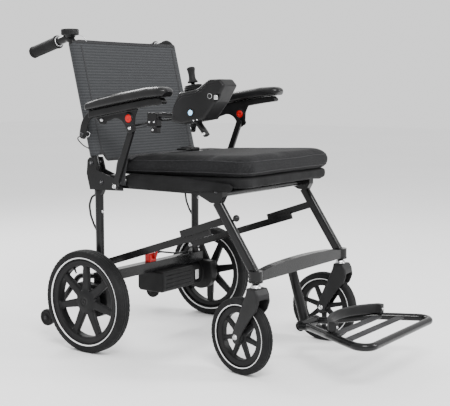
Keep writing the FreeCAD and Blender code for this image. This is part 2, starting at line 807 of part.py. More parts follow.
def make_armrests():
    pad_outline = [
        (0, 678), (4, 690, -6), (-6, 701, -3), (-110, 726, -3), (-216, 742, -3), (-268, 744, -8),
        (-287, 731, -4), (-276, 718), (-216, 713), (-110, 696),
    ]
    rail_outline = [
        (-4, 658), (-4, 677.4), (-110, 695.4), (-216, 712.4), (-258, 716), (-268, 708, -3),
        (-262, 699), (-216, 693), (-110, 676),
    ]
    plate_outline = [
        (-6, 664), (-26, 648, 4), (-42, 641, 4), (-56, 648), (-84, 657, -6), (-122, 640),
        (-130, 624, 6), (-151, 624, 6), (-158, 640), (-160, 666), (-170, 686), (-110, 676), (-20, 661),
    ]
    arc_outline = [
        (-8, 664), (-12, 679), (16, 675, 6), (50, 630), (54, 612, 5), (42, 598, 5),
        (31, 608), (24, 632, -5), (-2, 660),
    ]
    for name, side in SIDES.items():
        low = mirrored_low(side, size("pad_side") - size("pad_width") / 2, size("pad_width"))
        body = side_plate(f"armrest_pad_{name}", low, "dims.pad_width", pad_outline)
        publish(body, f"armrest_pad_{name}")

        rail = side_plate(f"arm_rail_{name}", mirrored_low(side, 258, 22), "22", rail_outline)
        plate = side_plate(f"arm_plate_{name}", mirrored_low(side, size("plate_side"), 5),
                           "dims.plate_thickness", plate_outline)
        arc = side_plate(f"arm_arc_{name}", mirrored_low(side, 249.5, 6.5), "6.5", arc_outline,
                         [(ARM_PIN.y, ARM_PIN.z, "dims.pin_radius + dims.running_fit")])
        joint = block(f"arm_joint_{name}", Vector(mirrored_low(side, 249.5, 12), -24, 663),
                      Vector(mirrored_low(side, 249.5, 12) + 12, -7, 673))
        bezel = cross_rod(f"button_bezel_{name}", "dims.button_radius + 3", side * 256.4,
                          side * 265.5, BUTTON.y, BUTTON.z)
        bore = cross_rod(f"button_bore_{name}", "dims.button_radius + dims.running_fit",
                         side * 250, side * 290, BUTTON.y, BUTTON.z)
        solid = fused(f"arm_solid_{name}", [rail, plate, arc, joint, bezel])
        publish(cut(f"armrest_bracket_{name}_solid", solid, [bore]), f"armrest_bracket_{name}")

        button = cross_rod(f"release_button_{name}", "dims.button_radius", side * 255.4,
                           side * 268.5, BUTTON.y, BUTTON.z)
        publish(button, button.Name)

        post = arm_post(name, side)
        publish(post, post.Name)


def arm_post(name, side):
    """Flat bar from its pin on the rear bracket up to the armrest plate."""
    top = Vector(0, -141, 633)
    run = top - POST_PIN
    body = new_body(f"arm_post_{name}")
    low = mirrored_low(side, size("post_side"), size("post_thickness"))
    sketch = new_sketch(body, body.Name + "_outline", "YZ_Plane", low)
    across = Vector(0, -run.z, run.y).normalize() * (size("post_width") / 2)
    corners = [POST_PIN - across, top - across, top + across, POST_PIN + across]
    half = size("post_width") / 2
    add_outline(sketch, [
        (corners[0].y, corners[0].z), (corners[1].y, corners[1].z, -half),
        (corners[2].y, corners[2].z), (corners[3].y, corners[3].z, -half),
    ])
    add_circle(sketch, POST_PIN.y, POST_PIN.z, "dims.pin_radius + dims.running_fit")
    pad(body, sketch, "dims.post_thickness")
    return on_datum(body)


# ---------------------------------------------------------------- joystick

STICK_BASE = Vector(0, -361, 735)


def tilted_rod(name, radius, low, high):
    """A cylinder on the leaning axis of the stick, between two heights above its base."""
    lean = Rotation(X_AXIS, size("stick_lean"))
    origin = STICK_BASE + Vector(size("pod_side"), 0, 0)
    return rod(name, radius, origin + lean.multVec(Vector(0, 0, low)),
               origin + lean.multVec(Vector(0, 0, high)))


def tilted_turning(name, profile):
    """A piece turned about the stick's axis from a half section of (radius, height)."""
    body = wheel_profile_body(name, profile)
    lean = Rotation(X_AXIS, size("stick_lean"))
    return on_datum(body, STICK_BASE + Vector(size("pod_side"), 0, 0), lean)


def make_joystick():
    low = size("pod_side") - size("pod_width") / 2
    body = side_plate("joystick_pod", low, "dims.pod_width", [
        (-308, 655), (-313, 690), (-334, 729), (-392, 739), (-428, 762), (-462, 763),
        (-477, 747), (-451, 706), (-412, 661), (-341, 649),
    ])
    round_edges(body, 6.0, rim_edges(low, low + size("pod_width")))
    well = tilted_rod("stick_well", "17", -18, 30)
    outer = low - 0.5
    power_hole = cross_rod("power_hole", "7.5 + dims.running_fit", outer - 5, outer + 8, -374, 679)
    switch_hole = block("switch_hole", Vector(outer - 5, -462, 710), Vector(outer + 8, -444, 726))
    publish(cut("joystick_housing_solid", body, [well, power_hole, switch_hole]), "joystick_housing")

    publish(tilted_turning("joystick_boot", [
        (12, 0.2), (26, 0.2), (26, 2), (21.5, 4), (25, 6.2), (20, 8.2), (23, 10.2), (17, 12),
        (12, 12),
    ]), "joystick_boot")

    ring = tilted_rod("gimbal_ring", "11.5", -6, -2)
    hole = tilted_rod("gimbal_hole", "7.5", -8, 2)
    lean = Rotation(X_AXIS, size("stick_lean"))
    pivot = STICK_BASE + lean.multVec(Vector(0, 0, -4))
    stub = cross_rod("gimbal_stub", "1.5", size("pod_side") - 16.8, size("pod_side") + 16.8,
                     pivot.y, pivot.z)
    fore = lean.multVec(Vector(0, -10, 0))
    centre = Vector(size("pod_side"), pivot.y, pivot.z)
    bore = rod("gimbal_bore", "1.5 + dims.running_fit", centre - fore * 1.4, centre + fore * 1.4)
    publish(cut("gimbal_solid", fused("gimbal_blank", [ring, stub]), [hole, bore]),
            "joystick_gimbal")

    stick = tilted_turning("joystick_stick_turning", [
        (0, -8), (5, -8), (5, 17), (17, 17), (15, 20), (9.5, 26), (8.5, 38), (10.5, 54, -2), (7, 59),
        (0, 60),
    ])
    pin = rod("stick_cross_pin", "1.5", centre - fore, centre + fore)
    publish(fused("joystick_stick_solid", [stick, pin]), "joystick_stick")

    publish(cross_rod("power_button", "7.5", outer - 1.5, outer + 3, -374, 679), "power_button")
    publish(block("speed_switch", Vector(outer - 3.5, -458, 711.5), Vector(outer + 4, -448, 724.5)),
            "speed_switch")

    bar = rod("joystick_bar", "7", Vector(size("pod_side"), -214, 672),
              Vector(size("pod_side"), -308.6, 668))
    clamp = block("joystick_clamp", Vector(size("pod_side") - 12, -246, 640),
                  Vector(size("pod_side") + 12, -214, 690))
    underbar = block("joystick_clamp_relief", Vector(-300, -260, 676), Vector(-230, -200, 700))
    foot = block("joystick_clamp_foot", Vector(size("pod_side") - 9, -244, 622),
                 Vector(size("pod_side") + 9, -226, 641))
    publish(cut("joystick_arm_solid", fused("joystick_arm_blank", [bar, clamp, foot]), [underbar]),
            "joystick_arm")

    x = size("pod_side") + 20
    route = [Vector(x, -309, 664), Vector(x, -290, 660), Vector(x, -240, 656), Vector(x, -190, 648),
             Vector(x, -150, 640), Vector(x, -112, 636)]
    publish(shaped("joystick_cable", tube_shape(route, [60, 90, 90, 90], 2.5)), "joystick_cable")


make_rear_wheels()
make_casters()
make_front_frame()
make_lower_cross()
make_footrest()
make_rear_brackets()
make_side_stays()
make_seat()
make_rear_frame()
make_backrest()
make_armrests()
make_joystick()
doc.recompute()

# ---------------------------------------------------------------- checks and files

failed = [o.Name for o in doc.Objects if "Invalid" in o.State or "Error" in o.State]
if failed:
    raise RuntimeError(f"not recomputed: {failed}")
unsound = [o.Label for o in sub_parts if o.Shape.isNull() or not o.Shape.isValid()]
if unsound:
    raise RuntimeError(f"no valid shape: {unsound}")

os.makedirs("parts", exist_ok=True)
whole = FreeCAD.BoundBox()
for item in sub_parts:
    item.Shape.exportStep(os.path.join("parts", item.Label + ".step"))
    whole.add(item.Shape.BoundBox)
print(len(sub_parts), "sub-parts")
print("box", [round(v, 2) for v in (whole.XMin, whole.XMax, whole.YMin, whole.YMax,
                                   whole.ZMin, whole.ZMax)])
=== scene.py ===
import json
import math

import bmesh
import bpy
from mathutils import Euler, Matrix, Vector
from mathutils.bvhtree import BVHTree


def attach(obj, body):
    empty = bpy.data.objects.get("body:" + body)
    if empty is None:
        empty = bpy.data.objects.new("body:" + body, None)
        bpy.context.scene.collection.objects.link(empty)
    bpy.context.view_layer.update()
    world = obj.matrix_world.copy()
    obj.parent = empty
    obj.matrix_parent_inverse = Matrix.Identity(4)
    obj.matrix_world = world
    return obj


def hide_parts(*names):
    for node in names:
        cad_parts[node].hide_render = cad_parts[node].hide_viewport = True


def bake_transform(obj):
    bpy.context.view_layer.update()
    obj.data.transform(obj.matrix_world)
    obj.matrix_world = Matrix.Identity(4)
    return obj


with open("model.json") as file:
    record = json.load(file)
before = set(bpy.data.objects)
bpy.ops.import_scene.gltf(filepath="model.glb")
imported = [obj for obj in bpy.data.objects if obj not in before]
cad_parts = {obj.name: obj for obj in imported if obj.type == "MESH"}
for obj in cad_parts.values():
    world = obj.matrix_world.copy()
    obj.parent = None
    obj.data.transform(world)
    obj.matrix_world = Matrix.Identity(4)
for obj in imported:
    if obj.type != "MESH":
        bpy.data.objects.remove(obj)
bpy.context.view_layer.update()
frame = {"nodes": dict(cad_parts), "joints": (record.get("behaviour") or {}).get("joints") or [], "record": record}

# Power wheelchair, looks. Row frame: +Z up, the chair faces -Y, its left side is +X. Metres.

MM = 0.001
NODES = frame["nodes"]
JOINT = {j["name"]: Vector(j["pos_m"]) for j in frame["joints"] if "pos_m" in j}
AXES = {j["name"]: Vector(j["axis"]).normalized() for j in frame["joints"]}
BODY_OF = {node: body for body, members in frame["record"]["behaviour"]["bodies"].items()
           for node in members}
SLOTS = {part["node"]: part["material_slot"] for part in frame["record"]["subparts"]}
AXLE = JOINT["rear_wheel_left_spin"].y
SIDES = {"left": 1, "right": -1}


UP = Vector((0, 0, 1))


def at(x, y, z):
    """A point in millimetres from the floor under the rear axle."""
    return Vector((x * MM, AXLE + y * MM, z * MM))


def clamp(value, low, high):
    return min(max(value, low), high)


def signed_power(value, power):
    """Squares off a ring when it is used on its cosines and sines."""
    return math.copysign(abs(value) ** power, value)


def ring_angles(count):
    return [math.tau * k / count for k in range(count)]


def assign(target, **values):
    for key, value in values.items():
        setattr(target, key, value)
    return target


def linked(name, data):
    """A new object in the scene."""
    piece = bpy.data.objects.new(name, data)
    bpy.context.collection.objects.link(piece)
    return piece


# ---- camera and light

LENS, SENSOR = 78.15, 36.0                      # mm
CAMERA_PLACE = (-2249.04, -1887.38, 745.46)     # mm, as at() takes it
CAMERA_TURN = (90 - 6.823, -0.05, -54.238)      # degrees about X, Y and Z
WORLD_STRENGTH = 1.25
FLOOR_REACH = 14.0
LIT_CENTRE = Vector((0.0, 0.0, 0.45))
SOFTBOXES = (                                   # name, place, width, height, watts
    ("key_softbox", (-1.9, -1.9, 2.7), 1.5, 0.9, 125),
    ("side_softbox", (1.5, -2.8, 1.9), 0.7, 1.6, 75),
    ("rear_strip", (0.6, 2.4, 2.2), 2.4, 0.5, 70),
)


def make_camera():
    data = assign(bpy.data.cameras.new("camera"), lens=LENS, sensor_width=SENSOR)
    camera = linked("camera", data)
    camera.location = at(*CAMERA_PLACE)
    camera.rotation_euler = Euler([math.radians(turn) for turn in CAMERA_TURN])
    bpy.context.scene.camera = camera


def area_light(name, place, wide, tall, power):
    data = assign(bpy.data.lights.new(name, "AREA"), shape="RECTANGLE", size=wide, size_y=tall,
                  energy=power)
    lamp = linked(name, data)
    lamp.location = place
    lamp.rotation_euler = (LIT_CENTRE - Vector(place)).to_track_quat("-Z", "Y").to_euler()


def make_studio():
    world = bpy.data.worlds.new("studio")
    world.use_nodes = True
    background = world.node_tree.nodes["Background"]
    background.inputs["Color"].default_value = (1.0, 1.0, 1.0, 1.0)
    background.inputs["Strength"].default_value = WORLD_STRENGTH
    bpy.context.scene.world = world
    for softbox in SOFTBOXES:
        area_light(*softbox)
    floor_mesh = bpy.data.meshes.new("floor")
    floor_mesh.from_pydata([(u * FLOOR_REACH, v * FLOOR_REACH, 0)
                            for u, v in ((-1, -1), (1, -1), (1, 1), (-1, 1))],
                           [], [(0, 1, 2, 3)])
    floor = linked("floor", floor_mesh)
    floor.data.materials.append(floor_material())


# ---- materials

class Shader:
    """A Principled material with short calls for the texture nodes that feed it."""

    def __init__(self, name, **sockets):
        self.material = bpy.data.materials.new(name)
        self.material.use_nodes = True
        self.tree = self.material.node_tree
        self.bsdf = self.tree.nodes["Principled BSDF"]
        for socket, value in sockets.items():
            self.bsdf.inputs[socket.replace("_", " ")].default_value = value
        self.place = self.add("ShaderNodeTexCoord").outputs["Object"]

    def add(self, kind, **settings):
        return assign(self.tree.nodes.new(kind), **settings)

    def join(self, source, target):
        self.tree.links.new(source, target)

    def noise(self, scale, detail=3.0, stretch=None):
        node = self.add("ShaderNodeTexNoise")
        node.inputs["Scale"].default_value = scale
        node.inputs["Detail"].default_value = detail
        source = self.place
        if stretch:
            mapping = self.add("ShaderNodeMapping")
            mapping.inputs["Scale"].default_value = stretch
            self.join(self.place, mapping.inputs["Vector"])
            source = mapping.outputs["Vector"]
        self.join(source, node.inputs["Vector"])
        return node.outputs["Fac"]

    def cells(self, scale, feature="F1"):
        node = self.add("ShaderNodeTexVoronoi", feature=feature)
        node.inputs["Scale"].default_value = scale
        self.join(self.place, node.inputs["Vector"])
        return node.outputs["Distance"]

    def math(self, operation, first, second=None):
        node = self.add("ShaderNodeMath", operation=operation)
        for index, value in enumerate((first, second)):
            if value is None:
                continue
            if isinstance(value, (int, float)):
                node.inputs[index].default_value = value
            else:
                self.join(value, node.inputs[index])
        return node.outputs["Value"]

    def axes(self):
        node = self.add("ShaderNodeSeparateXYZ")
        self.join(self.place, node.inputs["Vector"])
        return node.outputs

    def wave(self, value, pitch, power=1.0):
        """0 to 1 ridges across a coordinate, one every pitch metres."""
        turned = self.math("MULTIPLY", value, math.tau / pitch)
        ridge = self.math("SINE", turned)
        ridge = self.math("MULTIPLY_ADD", ridge, 0.5)
        ridge.node.inputs[2].default_value = 0.5
        return self.math("POWER", ridge, power) if power != 1.0 else ridge

    def weighted(self, *terms):
        """The sum of (value, weight) pairs."""
        total = None
        for value, weight in terms:
            term = self.math("MULTIPLY", value, weight)
            total = term if total is None else self.math("ADD", total, term)
        return total

    def span(self, value, low, high, out_low, out_high):
        node = self.add("ShaderNodeMapRange")
        for index, number in enumerate((low, high, out_low, out_high), start=1):
            node.inputs[index].default_value = number
        self.join(value, node.inputs["Value"])
        return node.outputs["Result"]

    def colour(self, value, dark, light, low=0.3, high=0.7):
        ramp = self.add("ShaderNodeValToRGB")
        ramp.color_ramp.elements[0].position = low
        ramp.color_ramp.elements[1].position = high
        ramp.color_ramp.elements[0].color = (*dark, 1)
        ramp.color_ramp.elements[1].color = (*light, 1)
        self.join(value, ramp.inputs["Fac"])
        self.join(ramp.outputs["Color"], self.bsdf.inputs["Base Color"])

    def roughness(self, value, low, high):
        self.join(self.span(value, 0.25, 0.75, low, high), self.bsdf.inputs["Roughness"])

    def bump(self, *layers):
        """Stacked bumps, each (height, depth in metres)."""
        normal = None
        for height, depth in layers:
            node = self.add("ShaderNodeBump")
            node.inputs["Strength"].default_value = 1.0
            node.inputs["Distance"].default_value = depth
            self.join(height, node.inputs["Height"])
            if normal:
                self.join(normal, node.inputs["Normal"])
            normal = node.outputs["Normal"]
        self.join(normal, self.bsdf.inputs["Normal"])


def floor_material():
    shader = Shader("studio_floor", Roughness=0.75)
    shader.colour(shader.noise(0.6), (0.93, 0.93, 0.935), (0.96, 0.96, 0.96))
    return shader.material


def moulded(name, dark, light, rough, grain=420.0, depth=0.00012, **sockets):
    """Moulded plastic or rubber: fine grain, faint mottling, slightly uneven gloss."""
    shader = Shader(name, **{"Specular_IOR_Level": 0.16, **sockets})
    fine = shader.noise(grain, 2.0)
    shader.colour(shader.noise(14.0, 4.0), dark, light)
    shader.roughness(shader.noise(38.0, 3.0), rough - 0.06, rough + 0.08)
    shader.bump((shader.noise(60.0, 2.0), depth * 2), (fine, depth))
    return shader.material


def enamel(name, dark, light, rough, **sockets):
    """Powder coat: orange peel, dust-fine specks, a clear gloss."""
    shader = Shader(name, **{"Specular_IOR_Level": 0.18, **sockets})
    peel = shader.noise(260.0, 2.0)
    shader.colour(shader.noise(9.0, 5.0), dark, light)
    shader.roughness(shader.noise(24.0, 4.0), rough - 0.05, rough + 0.1)
    shader.bump((peel, 0.00012), (shader.noise(900.0, 1.0), 0.00003))
    return shader.material


def metal(name, tone, rough, brush=(1, 60, 60)):
    shader = Shader(name, Metallic=1.0)
    lines = shader.noise(90.0, 3.0, brush)
    shader.colour(lines, tuple(c * 0.82 for c in tone), tone)
    shader.roughness(lines, rough - 0.06, rough + 0.12)
    shader.bump((lines, 0.00004),)
    return shader.material


def tyre_material():
    shader = Shader("tyre_rubber", Specular_IOR_Level=0.14)
    shader.colour(shader.noise(18.0, 5.0), (0.005, 0.005, 0.0053), (0.012, 0.012, 0.0125))
    shader.roughness(shader.noise(70.0, 3.0), 0.6, 0.78)
    shader.bump((shader.noise(180.0, 3.0), 0.0003), (shader.noise(700.0, 2.0), 0.0001))
    return shader.material


def back_mesh_material():
    """Ribbed air mesh: level ribs 8 mm apart over a fine knit."""
    shader = Shader("back_air_mesh", Specular_IOR_Level=0.12, Sheen_Weight=0.06,
                    Sheen_Roughness=0.5)
    x, _, z = shader.axes()
    rib = shader.wave(z, 0.0082, 1.2)
    knit = shader.wave(x, 0.0016)
    course = shader.wave(z, 0.0014)
    weave = shader.math("MULTIPLY", knit, course)
    slub = shader.noise(30.0, 4.0, (1, 1, 26))
    tone = shader.weighted((rib, 0.55), (slub, 0.6), (weave, 0.2))
    shader.colour(tone, (0.019, 0.02, 0.0215), (0.042, 0.044, 0.047), 0.15, 1.2)
    shader.roughness(weave, 0.62, 0.85)
    shader.bump((rib, 0.00028), (weave, 0.0003))
    return shader.material


def cushion_material():
    """Spacer mesh: small rounded openings in a dark knit, slightly worn."""
    shader = Shader("cushion_spacer_mesh", Specular_IOR_Level=0.1, Sheen_Weight=0.03,
                    Sheen_Roughness=0.45)
    openings = shader.cells(330.0, "SMOOTH_F1")
    yarn = shader.noise(640.0, 2.0)
    wear = shader.noise(9.0, 4.0)
    tone = shader.weighted((openings, 0.9), (shader.math("ADD", yarn, wear), 0.25))
    shader.colour(tone, (0.003, 0.003, 0.0032), (0.016, 0.016, 0.017), 0.15, 0.95)
    shader.roughness(yarn, 0.6, 0.82)
    shader.bump((openings, 0.0007), (yarn, 0.0002))
    return shader.material


def webbing_material():
    shader = Shader("belt_webbing", Specular_IOR_Level=0.2, Sheen_Weight=0.05, Sheen_Roughness=0.4)
    x, y, z = shader.axes()
    twill = shader.wave(shader.math("ADD", x, shader.math("ADD", y, z)), 0.0024)
    shader.colour(twill, (0.008, 0.008, 0.009), (0.03, 0.03, 0.032), 0.1, 0.9)
    shader.roughness(shader.noise(300.0, 2.0), 0.5, 0.7)
    shader.bump((twill, 0.0003),)
    return shader.material


def lamp_material():
    shader = Shader("lit_button_lens", Roughness=0.2, Emission_Strength=0.7)
    shader.bsdf.inputs["Emission Color"].default_value = (0.25, 0.6, 1.0, 1.0)
    shader.colour(shader.noise(420.0, 2.0), (0.2, 0.5, 0.85), (0.6, 0.85, 1.0))
    return shader.material


def make_materials():
    black = ((0.0035, 0.0035, 0.0037), (0.009, 0.009, 0.0095))
    satin = ((0.0055, 0.0055, 0.0058), (0.0125, 0.0125, 0.013))
    return {
        "frame_paint": enamel("frame_powder_coat", *black, 0.2, Coat_Weight=0.1,
                              Coat_Roughness=0.08),
        "tyre": tyre_material(),
        "rim_plastic": moulded("rim_moulding", *black, 0.42),
        "fork_plastic": moulded("fork_cover", *satin, 0.46, Specular_IOR_Level=0.24),
        "mesh_fabric": back_mesh_material(),
        "cushion_fabric": cushion_material(),
        "webbing": webbing_material(),
        "armrest_gloss": moulded("armrest_skin", *black, 0.3, 300.0, 0.0001,
                                 Specular_IOR_Level=0.2, Coat_Weight=0.1, Coat_Roughness=0.1),
        "pod_plastic": moulded("pod_moulding", *black, 0.32, Specular_IOR_Level=0.2),
        "rubber": moulded("soft_rubber", *black, 0.6),
        "red_plastic": moulded("red_button", (0.36, 0.003, 0.003), (0.46, 0.005, 0.004), 0.3,
                               200.0, 0.0001, Specular_IOR_Level=0.25),
        "steel": metal("zinc_steel", (0.62, 0.62, 0.63), 0.28),
        "black_steel": metal("blackened_steel", (0.05, 0.05, 0.052), 0.36),
        "motor_paint": enamel("motor_housing", *satin, 0.42),
        "case_plastic": moulded("battery_shell", *satin, 0.5),
        "cable_jacket": moulded("cable_jacket", *black, 0.42, Specular_IOR_Level=0.24),
        "lamp_button": lamp_material(),
        "base_fabric": moulded("base_cover_cloth", (0.003, 0.003, 0.0032), (0.010, 0.010, 0.0105),
                               0.66, 700.0, 0.0003, Specular_IOR_Level=0.14),
        "thread": moulded("sewing_thread", (0.03, 0.032, 0.034), (0.05, 0.052, 0.055), 0.6),
        "slat_plastic": moulded("slat_moulding", (0.02, 0.02, 0.021), (0.036, 0.036, 0.038), 0.45),
        "reflector": moulded("reflective_ring", (0.62, 0.63, 0.64), (0.8, 0.8, 0.8), 0.35),
    }


# ---- mesh helpers

SIM_FRAMES = 20
SIM_SETTINGS = dict(quality=5, mass=0.3, use_pressure=True, uniform_pressure_force=4.0,
                    tension_stiffness=20, compression_stiffness=20, bending_stiffness=1.5)


def add_piece(name, mesh, slot, material=None, body=None):
    """A smooth mesh object with the named material, else the slot's, and a body to ride on."""
    piece = linked(name, mesh)
    mesh.materials.clear()
    mesh.materials.append(MATERIALS[material or slot])
    mesh.polygons.foreach_set("use_smooth", [True] * len(mesh.polygons))
    if body:
        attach(piece, body)
    return piece


def mesh_from(name, points, faces):
    mesh = bpy.data.meshes.new(name)
    mesh.from_pydata([tuple(p) for p in points], [], faces)
    mesh.update()
    bm = bmesh.new()
    bm.from_mesh(mesh)
    bmesh.ops.recalc_face_normals(bm, faces=bm.faces)
    bm.to_mesh(mesh)
    bm.free()
    return mesh


def rings_mesh(name, rings, closed_along=False):
    """A skin over equal rings of points, capped unless it closes on itself."""
    count = len(rings[0])
    points = [p for ring in rings for p in ring]
    faces = []
    for i in range(len(rings) if closed_along else len(rings) - 1):
        for k in range(count):
            a, b = i * count + k, i * count + (k + 1) % count
            c = ((i + 1) % len(rings)) * count
            faces.append((a, b, c + (k + 1) % count, c + k))
    if not closed_along:
        faces.append(tuple(range(count)))
        faces.append(tuple(range(len(points) - count, len(points))))
    return mesh_from(name, points, faces)


def frame_about(axis):
    axis = Vector(axis).normalized()
    side = axis.cross(UP)
    if side.length < 0.1:
        side = axis.cross(Vector((0, 1, 0)))
    side.normalize()
    return axis, side, axis.cross(side)


def lathe(name, profile, centre, axis, slot, body, material=None, segments=48, shape=None):
    """Turns (radius, height) pairs in mm about an axis; shape may alter a radius by angle."""
    axis, side, up = frame_about(axis)
    rings = []
    for angle in ring_angles(segments):
        out = side * math.cos(angle) + up * math.sin(angle)
        ring = []
        for index, (radius, height) in enumerate(profile):
            reach = shape(index, radius, height, angle) if shape else radius
            ring.append(Vector(centre) + out * (reach * MM) + axis * (height * MM))
        rings.append(ring)
    return add_piece(name, rings_mesh(name, rings, closed_along=True), slot, material, body)


def hexagon(radius, angle):
    sector = math.radians(60)
    return radius * math.cos(sector / 2) / math.cos(angle % sector - sector / 2)


def bolt(name, centre, axis, radius, body, material="steel"):
    """Button-head screw: low dome, hexagon socket, thin washer."""
    profile = [
        (0.01, -1.2), (radius * 1.18, -1.2), (radius * 1.18, 0.1), (radius * 1.02, 0.3),
        (radius, radius * 0.25), (radius * 0.86, radius * 0.5), (radius * 0.62, radius * 0.64),
        (radius * 0.46, radius * 0.64), (radius * 0.42, radius * 0.3), (0.01, radius * 0.3),
    ]

    def socket(index, reach, height, angle):
        return hexagon(reach * 1.12, angle) if index in (7, 8) else reach
    return lathe(name, profile, centre, axis, "steel", body, material, segments=36, shape=socket)


def smooth_route(points, step):
    """Points every step metres along a Catmull-Rom curve through the given ones."""
    pts = [Vector(p) for p in points]
    pts = [pts[0] * 2 - pts[1]] + pts + [pts[-1] * 2 - pts[-2]]
    out = []
    for i in range(1, len(pts) - 2):
        a, b, c, d = pts[i - 1:i + 3]
        count = max(2, round((c - b).length / step))
        for k in range(count):
            t = k / count
            out.append(0.5 * (2 * b + (c - a) * t + (2 * a - 5 * b + 4 * c - d) * t * t
                              + (3 * b - 3 * c + d - a) * t ** 3))
    out.append(pts[-2])
    return out


def sweep(name, route, section, slot, body, material=None, up=None, taper=None):
    """Sweeps a closed section of (across, upward) mm along a route of points."""
    rings = []
    normal = Vector(up) if up else None
    for i, point in enumerate(route):
        along = (route[min(i + 1, len(route) - 1)] - route[max(i - 1, 0)]).normalized()
        if normal is None:
            normal = frame_about(along)[2]
        across = along.cross(normal).normalized()
        lift = across.cross(along)
        if up is None:
            normal = lift
        scale = taper(i / (len(route) - 1)) if taper else 1.0
        rings.append([point + across * (u * MM * scale) + lift * (v * MM * scale)
                      for u, v in section])
    return add_piece(name, rings_mesh(name, rings), slot, material, body)


def round_section(radius, sides=12):
    return [(radius * math.cos(a), radius * math.sin(a)) for a in ring_angles(sides)]


def wire(name, points, step, radius, sides, slot, body, **options):
    """A round wire along a smooth route through points in mm."""
    route = smooth_route([at(*point) for point in points], step)
    return sweep(name, route, round_section(radius, sides), slot, body, **options)


def flat_section(width, thick):
    """A strap's section with eased edges."""
    half, edge = width / 2, thick / 2
    top = [(half * t, edge) for t in (0.97, 0.6, 0.2, -0.2, -0.6, -0.97)]
    return top + [(-half, 0)] + [(-u, -v) for u, v in top] + [(half, 0)]


def evaluated_mesh(piece, name):
    """The piece's mesh with its modifiers applied, and the piece itself removed."""
    graph = bpy.context.evaluated_depsgraph_get()
    mesh = bpy.data.meshes.new_from_object(piece.evaluated_get(graph), depsgraph=graph)
    mesh.name = name
    bpy.data.objects.remove(piece)
    return mesh


def remeshed(name, mesh, voxel, rounds):
    """An evenly quadded copy of a mesh with its edges rounded over."""
    piece = linked(name, mesh)
    assign(piece.modifiers.new("remesh", "REMESH"), mode="VOXEL", voxel_size=voxel * MM)
    assign(piece.modifiers.new("round", "SMOOTH"), iterations=rounds, factor=0.5)
    return evaluated_mesh(piece, name)


def softened(node, voxel, rounds):
    """Replaces a CAD node by a copy whose edges are rounded as on a moulding."""
    mesh = remeshed(node + "_form", NODES[node].data.copy(), voxel, rounds)
    piece = add_piece(node + "_form", mesh, SLOTS[node], None, BODY_OF[node])
    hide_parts(node)


def inflated(name, mesh, voxel, cap, keep):
    """A stuffed piece: cloth simulation under pressure, each point held within a cap.

    keep(point) returns the point moved to where the piece may be.
    """
    mesh = remeshed(name + "_start", mesh, voxel, 2)
    piece = linked(name + "_sim", mesh)
    start = [v.co.copy() for v in mesh.vertices]
    cloth = piece.modifiers.new("cloth", "CLOTH")
    assign(cloth.settings, **SIM_SETTINGS)
    cloth.settings.effector_weights.gravity = 0.0
    assign(cloth.point_cache, frame_start=1, frame_end=SIM_FRAMES)
    scene = bpy.context.scene
    for number in range(1, SIM_FRAMES + 1):
        scene.frame_set(number)
    result = evaluated_mesh(piece, name)
    scene.frame_set(1)
    limit = cap * MM
    for vertex, origin in zip(result.vertices, start):
        move = vertex.co - origin
        if move.length > limit:
            vertex.co = origin + move * (limit / move.length)
        vertex.co = keep(vertex.co)
    holder = linked(name + "_sub", result)
    holder.modifiers.new("even", "SMOOTH").iterations = 3
    holder.modifiers.new("divide", "SUBSURF").levels = 1
    return add_piece(name, evaluated_mesh(holder, name), "cushion_fabric", None, "chassis")


def surface_of(piece):
    """A search tree over a piece's surface, for laying other pieces on it."""
    mesh = piece.data
    return BVHTree.FromPolygons([v.co for v in mesh.vertices],
                                [tuple(p.vertices) for p in mesh.polygons])


def between(table, key):
    """Straight-line lookup in a list of (key, value) pairs with rising keys."""
    if key <= table[0][0]:
        return table[0][1]
    for (low, first), (high, second) in zip(table, table[1:]):
        if key <= high:
            return first + (second - first) * (key - low) / (high - low)
    return table[-1][1]


# ---- wheels

REAR_TYRE = (117, 145.5, 20)        # bead radius, outer radius, half width, mm
CASTER_TYRE = (79, 101.6, 15)
ANTI_TIP_OUT = 243.5
SHOULDER = range(7, 12)             # the profile rows that carry sipes
# Height above the bead and share of the half width.
WALL = [(0, 0.72), (3, 0.82), (6.5, 0.90), (9, 0.96), (9.8, 0.965), (10.4, 0.985)]


def side_wall(bead, half, reach):
    return half * between(WALL, reach - bead)


def tread_tyre(node, joint, tyre, blocks):
    """Tyre with ribbed crown, slanted shoulder sipes and moulded wall lines."""
    bead, radius, half = tyre
    outer = [(min(bead + rise, radius), share * half) for rise, share in WALL]
    outer += [(radius - drop, share * half) for share, drop in (
        (1.0, 11), (0.985, 8), (0.95, 5.4), (0.90, 3.4), (0.80, 1.9), (0.68, 1.0), (0.56, 0.5),
        (0.50, 0.45), (0.48, 1.7), (0.42, 1.7), (0.40, 0.3), (0.22, 0.06), (0.06, 0),
        (0.045, 1.5))]
    count = len(outer)
    profile = outer + [(r, -x) for r, x in reversed(outer)]
    profile += [(bead + 2, -half * 0.5), (bead + 2, half * 0.5)]

    def sipe(index, reach, height, angle):
        band = min(index, 2 * count - 1 - index)
        if band not in SHOULDER:
            return reach
        phase = (angle * blocks / math.tau + 0.09 * band + (0.5 if height < 0 else 0)) % 1.0
        return reach - 1.1 if phase < 0.24 else reach
    piece = lathe(node + "_treaded", profile, JOINT[joint], AXES[joint], "tyre", BODY_OF[node],
                  segments=blocks * 5, shape=sipe)
    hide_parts(node)


def reflective_ring(name, joint, mid, wide, tyre, body):
    """Thin pale ring let into each side wall."""
    bead, _, half = tyre
    for label, side in (("outer", 1), ("inner", -1)):
        profile = []
        for offset, proud in ((-wide / 2, -0.5), (-wide / 2, 0.35), (-wide / 4, 0.75),
                              (wide / 4, 0.75), (wide / 2, 0.35), (wide / 2, -0.5)):
            reach = mid + offset
            profile.append((reach, side * (side_wall(bead, half, reach) + proud)))
        lathe(f"{name}_ring_{label}", profile, JOINT[joint], AXES[joint], "steel", body,
              "reflector", segments=120)


